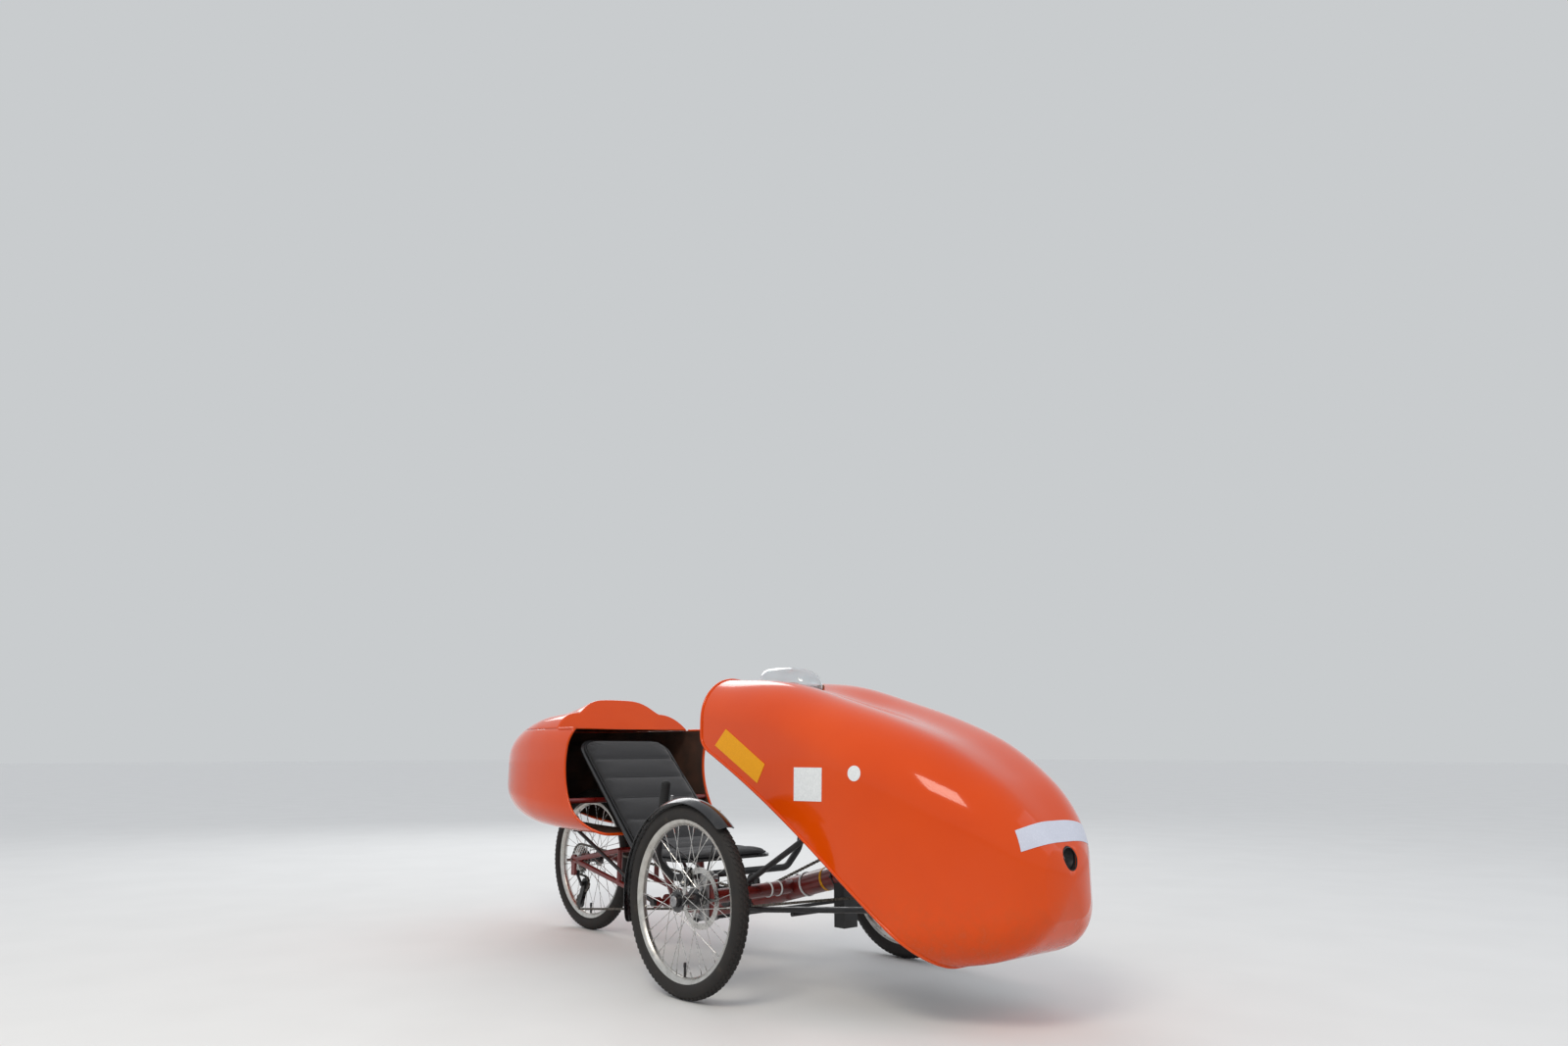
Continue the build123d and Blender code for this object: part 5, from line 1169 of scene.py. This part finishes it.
# Grips: ribbed rubber with a flange below and a rounded end
ribs = Shape()
levers = Shape()
for side in (-1, 1):
    foot = Vector((FX + bar_x, side * 0.290, 0.322))
    top = Vector((FX + bar_x + lean, side * 0.290, 0.545))
    along = (top - foot).normalized()
    forward = Vector((along.z, 0, -along.x))
    start = top - along * 0.120
    pts, radii = [], []
    for k in range(63):
        d = 0.0002 + 0.1236 * k / 62
        pts.append(start + along * d)
        r = 0.0158 if k < 3 else (0.0152 if k % 3 else 0.0140)
        radii.append(min(r, sqrt(max(0.0158**2 - max(0, d - 0.112) ** 2 * 1.6, 0.00002))))
    ribs.tube(pts, radii, sides=28)
    # Brake lever: clamp, pivot and a curved blade that thickens at its end
    collar = top - along * 0.136
    levers.tube([collar, collar + along * 0.001, collar + along * 0.014, collar + along * 0.015],
            [0.0155, 0.0168, 0.0168, 0.0155], sides=24)
    root = collar + along * 0.0075
    levers.tube([root + forward * 0.012, root + forward * 0.020, root + forward * 0.027],
            [0.0072, 0.0066, 0.0055], sides=12)
    elbow = root + forward * 0.034
    blade = [root + forward * 0.024, root + forward * 0.031 + along * 0.001, elbow + along * 0.006,
            elbow + along * 0.030 - forward * 0.001, elbow + along * 0.060 + forward * 0.001,
            elbow + along * 0.086 + forward * 0.003, elbow + along * 0.095 + forward * 0.004]
    levers.tube(blade, [0.0040, 0.0040, 0.0038, 0.0036, 0.0036, 0.0034, 0.0040], sides=12)
make("grip_ribs", ribs, "handlebar", grip_rubber, ["grips"], angle=50)
make("lever_blades", levers, "handlebar", forged, ["brake_levers"])

# Seat
# Pad: a start form a little smaller than the finished one, blown up as cloth between sewn channels
pad_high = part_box("seat_pad")[1]
RECLINE = radians(43)
back_way = Vector((-cos(RECLINE), 0, sin(RECLINE)))
hinge = Vector((FX - 0.585, 0, 0.3086))
seat_line = rounded([Vector((pad_high.x + 0.0005, 0, 0.3086)), hinge, hinge + back_way * 0.521], 0.1397, 14)
stations = even(seat_line, 0.0065, closed=False)
PAD_HALF, PAD_CORNER, PAD_THICK = 0.175, 0.050, 0.0175
span_total = len(stations) - 1
channels = [round(span_total * k / 8) for k in range(1, 8)]


def station_up(i):
    """Direction square to the seat at a station."""
    way = (stations[min(i + 1, span_total)] - stations[max(i - 1, 0)]).normalized()
    return Vector((way.z, 0, -way.x)) * (1 if way.x < 0 else -1)


def half_width(i, half):
    """Half width of the pad's outline at a station, with its corners rounded off."""
    near_end = min(i, span_total - i) * (stations[1] - stations[0]).length
    if near_end >= PAD_CORNER:
        return half
    return half - PAD_CORNER + sqrt(max(PAD_CORNER**2 - (PAD_CORNER - near_end) ** 2, 0)) + 0.0005


pad = Shape()
rows = []
for i, p in enumerate(stations):
    up = station_up(i)
    half = half_width(i, PAD_HALF)
    sewn = min(abs(i - c) for c in channels)
    thick = PAD_THICK * (0.42 if sewn == 0 else 0.8 if sewn == 1 else 1.0) * (1
            if 1 < i < span_total - 1 else 0.7)
    row = []
    for k in range(41):
        v = 2 * k / 40 - 1
        row.append(p + Vector((0, v * half, 0)) + up * (0.0015 + thick * (1 - abs(v) ** 14) ** 0.5))
    rows.append(row + [p + Vector((0, v * half, 0)) + up * 0.001 for v in [1 - k / 10 for k in range(1, 20)]])
pad.rows(rows, cap=True)
cushion = make("seat_pad_cloth", pad, "frame", [spacer], ["seat_pad"])
remesh = cushion.modifiers.new("even", "REMESH")
remesh.mode = "VOXEL"
remesh.voxel_size = 0.0068
bake(cushion)


def held(q):
    """How firmly a point of the pad is held: under the pad and along its channels."""
    i = min(range(len(stations)), key=lambda k: (q.x - stations[k].x) ** 2 + (q.z - stations[k].z) ** 2)
    if (q - stations[i]).dot(station_up(i)) < 0.0065:
        return 1.0
    return 1.0 if min(abs(i - c) for c in channels) == 0 else 0.0


group = cushion.vertex_groups.new(name="held")
firm = [v.index for v in cushion.data.vertices if held(v.co) > 0.5]
group.add(firm, 1.0, "REPLACE")
before = [v.co.copy() for v in cushion.data.vertices]
cloth = cushion.modifiers.new("cloth", "CLOTH")
for key, value in (("quality", 4), ("mass", 0.2), ("tension_stiffness", 12), ("compression_stiffness", 12),
        ("bending_stiffness", 0.4), ("use_pressure", True), ("uniform_pressure_force", 4),
        ("vertex_group_mass", "held")):
    setattr(cloth.settings, key, value)
cloth.settings.effector_weights.gravity = 0
for frame_number in range(1, 21):
    bpy.context.scene.frame_set(frame_number)
bake(cushion)
for vertex, start in zip(cushion.data.vertices, before):
    move = vertex.co - start
    vertex.co = start + move * min(1.0, 0.0065 / max(move.length, 1e-6))
cushion.vertex_groups.clear()
smooth = cushion.modifiers.new("fine", "SUBSURF")
smooth.levels = smooth.render_levels = 1
bake(cushion)
for face in cushion.data.polygons:
    face.use_smooth = True
cushion.data.materials.clear()
cushion.data.materials.append(spacer)

# Seams: stitched tape down in each channel and piping round the pad's edge
pad_tree = BVHTree.FromPolygons([tuple(v.co) for v in cushion.data.vertices],
        [tuple(f.vertices) for f in cushion.data.polygons])
seams = Shape()
for c in channels:
    up = station_up(c)
    line = []
    for k in range(31):
        start = stations[c] + Vector((0, (2 * k / 30 - 1) * (PAD_HALF - 0.008), 0)) + up * 0.08
        hit = pad_tree.ray_cast(start, -up)[0]
        if hit:
            line.append(hit - up * 0.0002)
    seams.tube(soften(line, closed=False), 0.0016, sides=8, flat=0.7)
rim_line = []
for i in range(0, span_total + 1, 2):
    rim_line.append(stations[i] + Vector((0, half_width(i, PAD_HALF) + 0.0012, 0)) + station_up(i) * 0.0042)
rim_line += [Vector((p.x, -p.y, p.z)) for p in rim_line[::-1]]
seams.tube(soften(even(rim_line, 0.006)), 0.0026, sides=10, closed=True)
make("seat_seams", seams, "frame", webbing)

# Seat shell's rolled rim
rim_line = []
for i in range(0, span_total + 1, 3):
    near_end = min(i, span_total - i) * 0.0065
    wide = 0.1885 - (0.060 - sqrt(max(0.060**2 - (0.060 - near_end) ** 2, 0)) if near_end < 0.060 else 0)
    rim_line.append(stations[i] + Vector((0, wide, 0)) - station_up(i) * 0.0042)
rim_line += [Vector((p.x, -p.y, p.z)) for p in rim_line[::-1]]
rolled = Shape()
rolled.tube(soften(even(rim_line, 0.008)), 0.0036, sides=10, closed=True)
make("seat_shell_rim", rolled, "frame", satin)

# Drive
# Chain: side plates, rollers and pins set at half-inch pitch along the same route as the frame's band
REAR = RX - FX
WHEELS = ((CRANK.x - FX, CRANK.z, 0.088, 1), (-0.170, 0.250, 0.026, -1), (REAR, 0.248, 0.048, 1),
        (REAR + 0.035, 0.165, 0.020, -1), (REAR + 0.010, 0.100, 0.020, 1), (-0.300, 0.192, 0.026, 1))
CHAIN_Y = -0.050


def chain_line():
    """Middle line of the chain round all its wheels, as tangent arcs and straight runs."""
    circles = [(Vector((x, z)), sense * (r + 0.005), sense) for x, z, r, sense in WHEELS]
    headings = []
    for (c1, r1, _), (c2, r2, _) in zip(circles, circles[1:] + circles[:1]):
        across = c2 - c1
        headings.append(math.atan2(across.y, across.x) - math.asin((r2 - r1) / across.length))
    pts = []
    for i, (c, r, sense) in enumerate(circles):
        arrive, leave = headings[i - 1], headings[i]
        turn = sense * ((sense * (leave - arrive)) % (2 * pi))
        steps = max(2, int(abs(turn) / 0.05))
        pts += [c - Vector((-sin(arrive + turn * k / steps), cos(arrive + turn * k / steps))) * r
                for k in range(steps + 1)]
    return [Vector((FX + q.x, CHAIN_Y, q.y)) for q in pts]


route = chain_line()
route_length = sum((b - a).length for a, b in zip(route, route[1:] + route[:1]))
links = 2 * round(route_length / 0.0254)
joints_at = even(route, route_length / links)
waist = [(0.00635 + 0.0040 * cos(a), 0.0040 * sin(a)) for a in (-1.9, -1.1, -0.4, 0.4, 1.1, 1.9)]
waist += [(0, 0.0028)] + [(-x, -z) for x, z in waist] + [(0, -0.0028)]
for name, gap, part_of in (("outer", 0.0029, 0), ("inner", 0.0018, 1)):
    plates = Shape()
    for side in (-1, 1):
        plates.plate(waist, (0, side * gap, 0), 0.0009, 0.0001)
    spots = []
    for k in range(part_of, len(joints_at), 2):
        a, b = joints_at[k], joints_at[(k + 1) % len(joints_at)]
        spots.append(((a + b) / 2, Euler((0, -math.atan2(b.z - a.z, b.x - a.x), 0))))
    copies(f"chain_plates_{name}", plates, spots, "frame", oiled,
            ["chain"] if not part_of else ())
pin = Shape()
pin.turned([(0.0001, -0.0034), (0.0017, -0.0034), (0.0017, -0.0016), (0.0037, -0.0015), (0.0037, 0.0015),
        (0.0017, 0.0016), (0.0017, 0.0034), (0.0001, 0.0034)], (0, 0, 0), "Y", 7, closed=False)
copies("chain_rollers", pin, [(p, Euler((0, 0, 0))) for p in joints_at], "frame", oiled)

# Crankset: five ring bolts and a bolt at the root of each arm
spots = [((450 + 72 * cos(a + pi / 5), -51.6, 369 + 72 * sin(a + pi / 5)), (0, -1, 0)) for a in circle(5)]
spots += [((450, side * 78.4, 369), (0, side, 0)) for side in (-1, 1)]
bolts("crank_bolts", spots, "crankset")

# Pedals: grip pins on both faces
spike = Shape()
spike.turned([(0.0001, 0.0028), (0.0013, 0.0028), (0.0016, 0.0022), (0.0016, -0.001), (0.0001, -0.001)],
        (0, 0, 0), "Z", 8, closed=False)
GRIP_SPOTS = [(dx, dy) for dx in (-0.041, 0.041) for dy in (-0.030, -0.015, 0, 0.015, 0.030)]
GRIP_SPOTS += [(dx, dy) for dx in (-0.022, 0.022) for dy in (-0.036, 0.036)]
for side_name, side, x0 in (("right", -1, 0.620), ("left", 1, 0.280)):
    spots = []
    for face in (-1, 1):
        for dx, dy in GRIP_SPOTS:
            spots.append((Vector((FX + x0 + dx, side * (0.124 + dy), CRANK.z + face * 0.010)),
                    Euler((0 if face > 0 else pi, 0, 0))))
    copies(f"pedal_pins_{side_name}", spike, spots, f"pedal_{side_name}", stainless)

# CAD nodes that keep their shape
for mat, prefixes in ((powder, ("main_boom", "rear_frame", "rear_swingarm", "cross_member")),
        (stainless, ("brake_disc", "rear_axle", "sprockets")),
        (forged, ("knuckle", "crankset", "handlebar_post")),
        (satin, ("brake_caliper", "tie_rod", "drag_link", "shock_absorber", "derailleur", "nose_supports",
        "tail_struts")),
        (plastic, ("pedal", "chain_idlers")), (laminate, ("seat_shell",))):
    for node in nodes:
        if any(node == prefix or node.startswith(prefix + "_") for prefix in prefixes):
            cad_finish(node, mat)

# Stage, light and camera
floor_mesh = bpy.data.meshes.new("floor")
floor_mesh.from_pydata([(-60, -60, 0), (60, -60, 0), (60, 60, 0), (-60, 60, 0)], [], [(0, 1, 2, 3)])
floor_mesh.materials.append(paint)
placed("floor", floor_mesh)

world = bpy.data.worlds.new("studio")
bpy.context.scene.world = world
world.use_nodes = True
tree = world.node_tree
tree.nodes.clear()
soft = add(tree, "ShaderNodeBackground", Color=srgb("E8EBEF"), Strength=0.92)
seen = add(tree, "ShaderNodeBackground", Color=srgb("C9CCCE"), Strength=1.0)
path = add(tree, "ShaderNodeLightPath")
shares = {0: path.outputs["Is Camera Ray"], 1: soft.outputs[0], 2: seen.outputs[0]}
blend = add(tree, "ShaderNodeMixShader", shares)
add(tree, "ShaderNodeOutputWorld", {"Surface": blend.outputs[0]})


def area_light(name, place, aim, size, power, colour):
    """Rectangular light at a place, turned towards a point."""
    data = bpy.data.lights.new(name, "AREA")
    data.shape = "RECTANGLE"
    data.size, data.size_y = size
    data.energy = power
    data.color = srgb(colour)[:3]
    obj = placed(name, data)
    obj.location = place
    obj.rotation_euler = (Vector(aim) - Vector(place)).to_track_quat("-Z", "Y").to_euler()


area_light("key", (2.2, -3.6, 4.2), (0, 0, 0.4), (2.0, 1.4), 100, "FFF6E8")
area_light("fill", (4.5, 3.0, 3.0), (0.3, 0, 0.4), (3.5, 2.5), 20, "EAF1FF")
area_light("back", (-4.5, 2.0, 3.6), (-0.4, 0, 0.5), (3.0, 2.0), 60, "FFFFFF")

camera = bpy.data.cameras.new("camera")
camera.lens = 24.72
camera.sensor_width = 36
camera.clip_end = 200
eye = placed("camera", camera)
eye.location = (FX + 2.407, -2.260, 0.639)
eye.rotation_euler = Vector((-0.7252, 0.6570, 0.2061)).to_track_quat("-Z", "Y").to_euler()
bpy.context.scene.camera = eye
bpy.context.scene.view_settings.view_transform = "Standard"

bpy.context.view_layer.update()
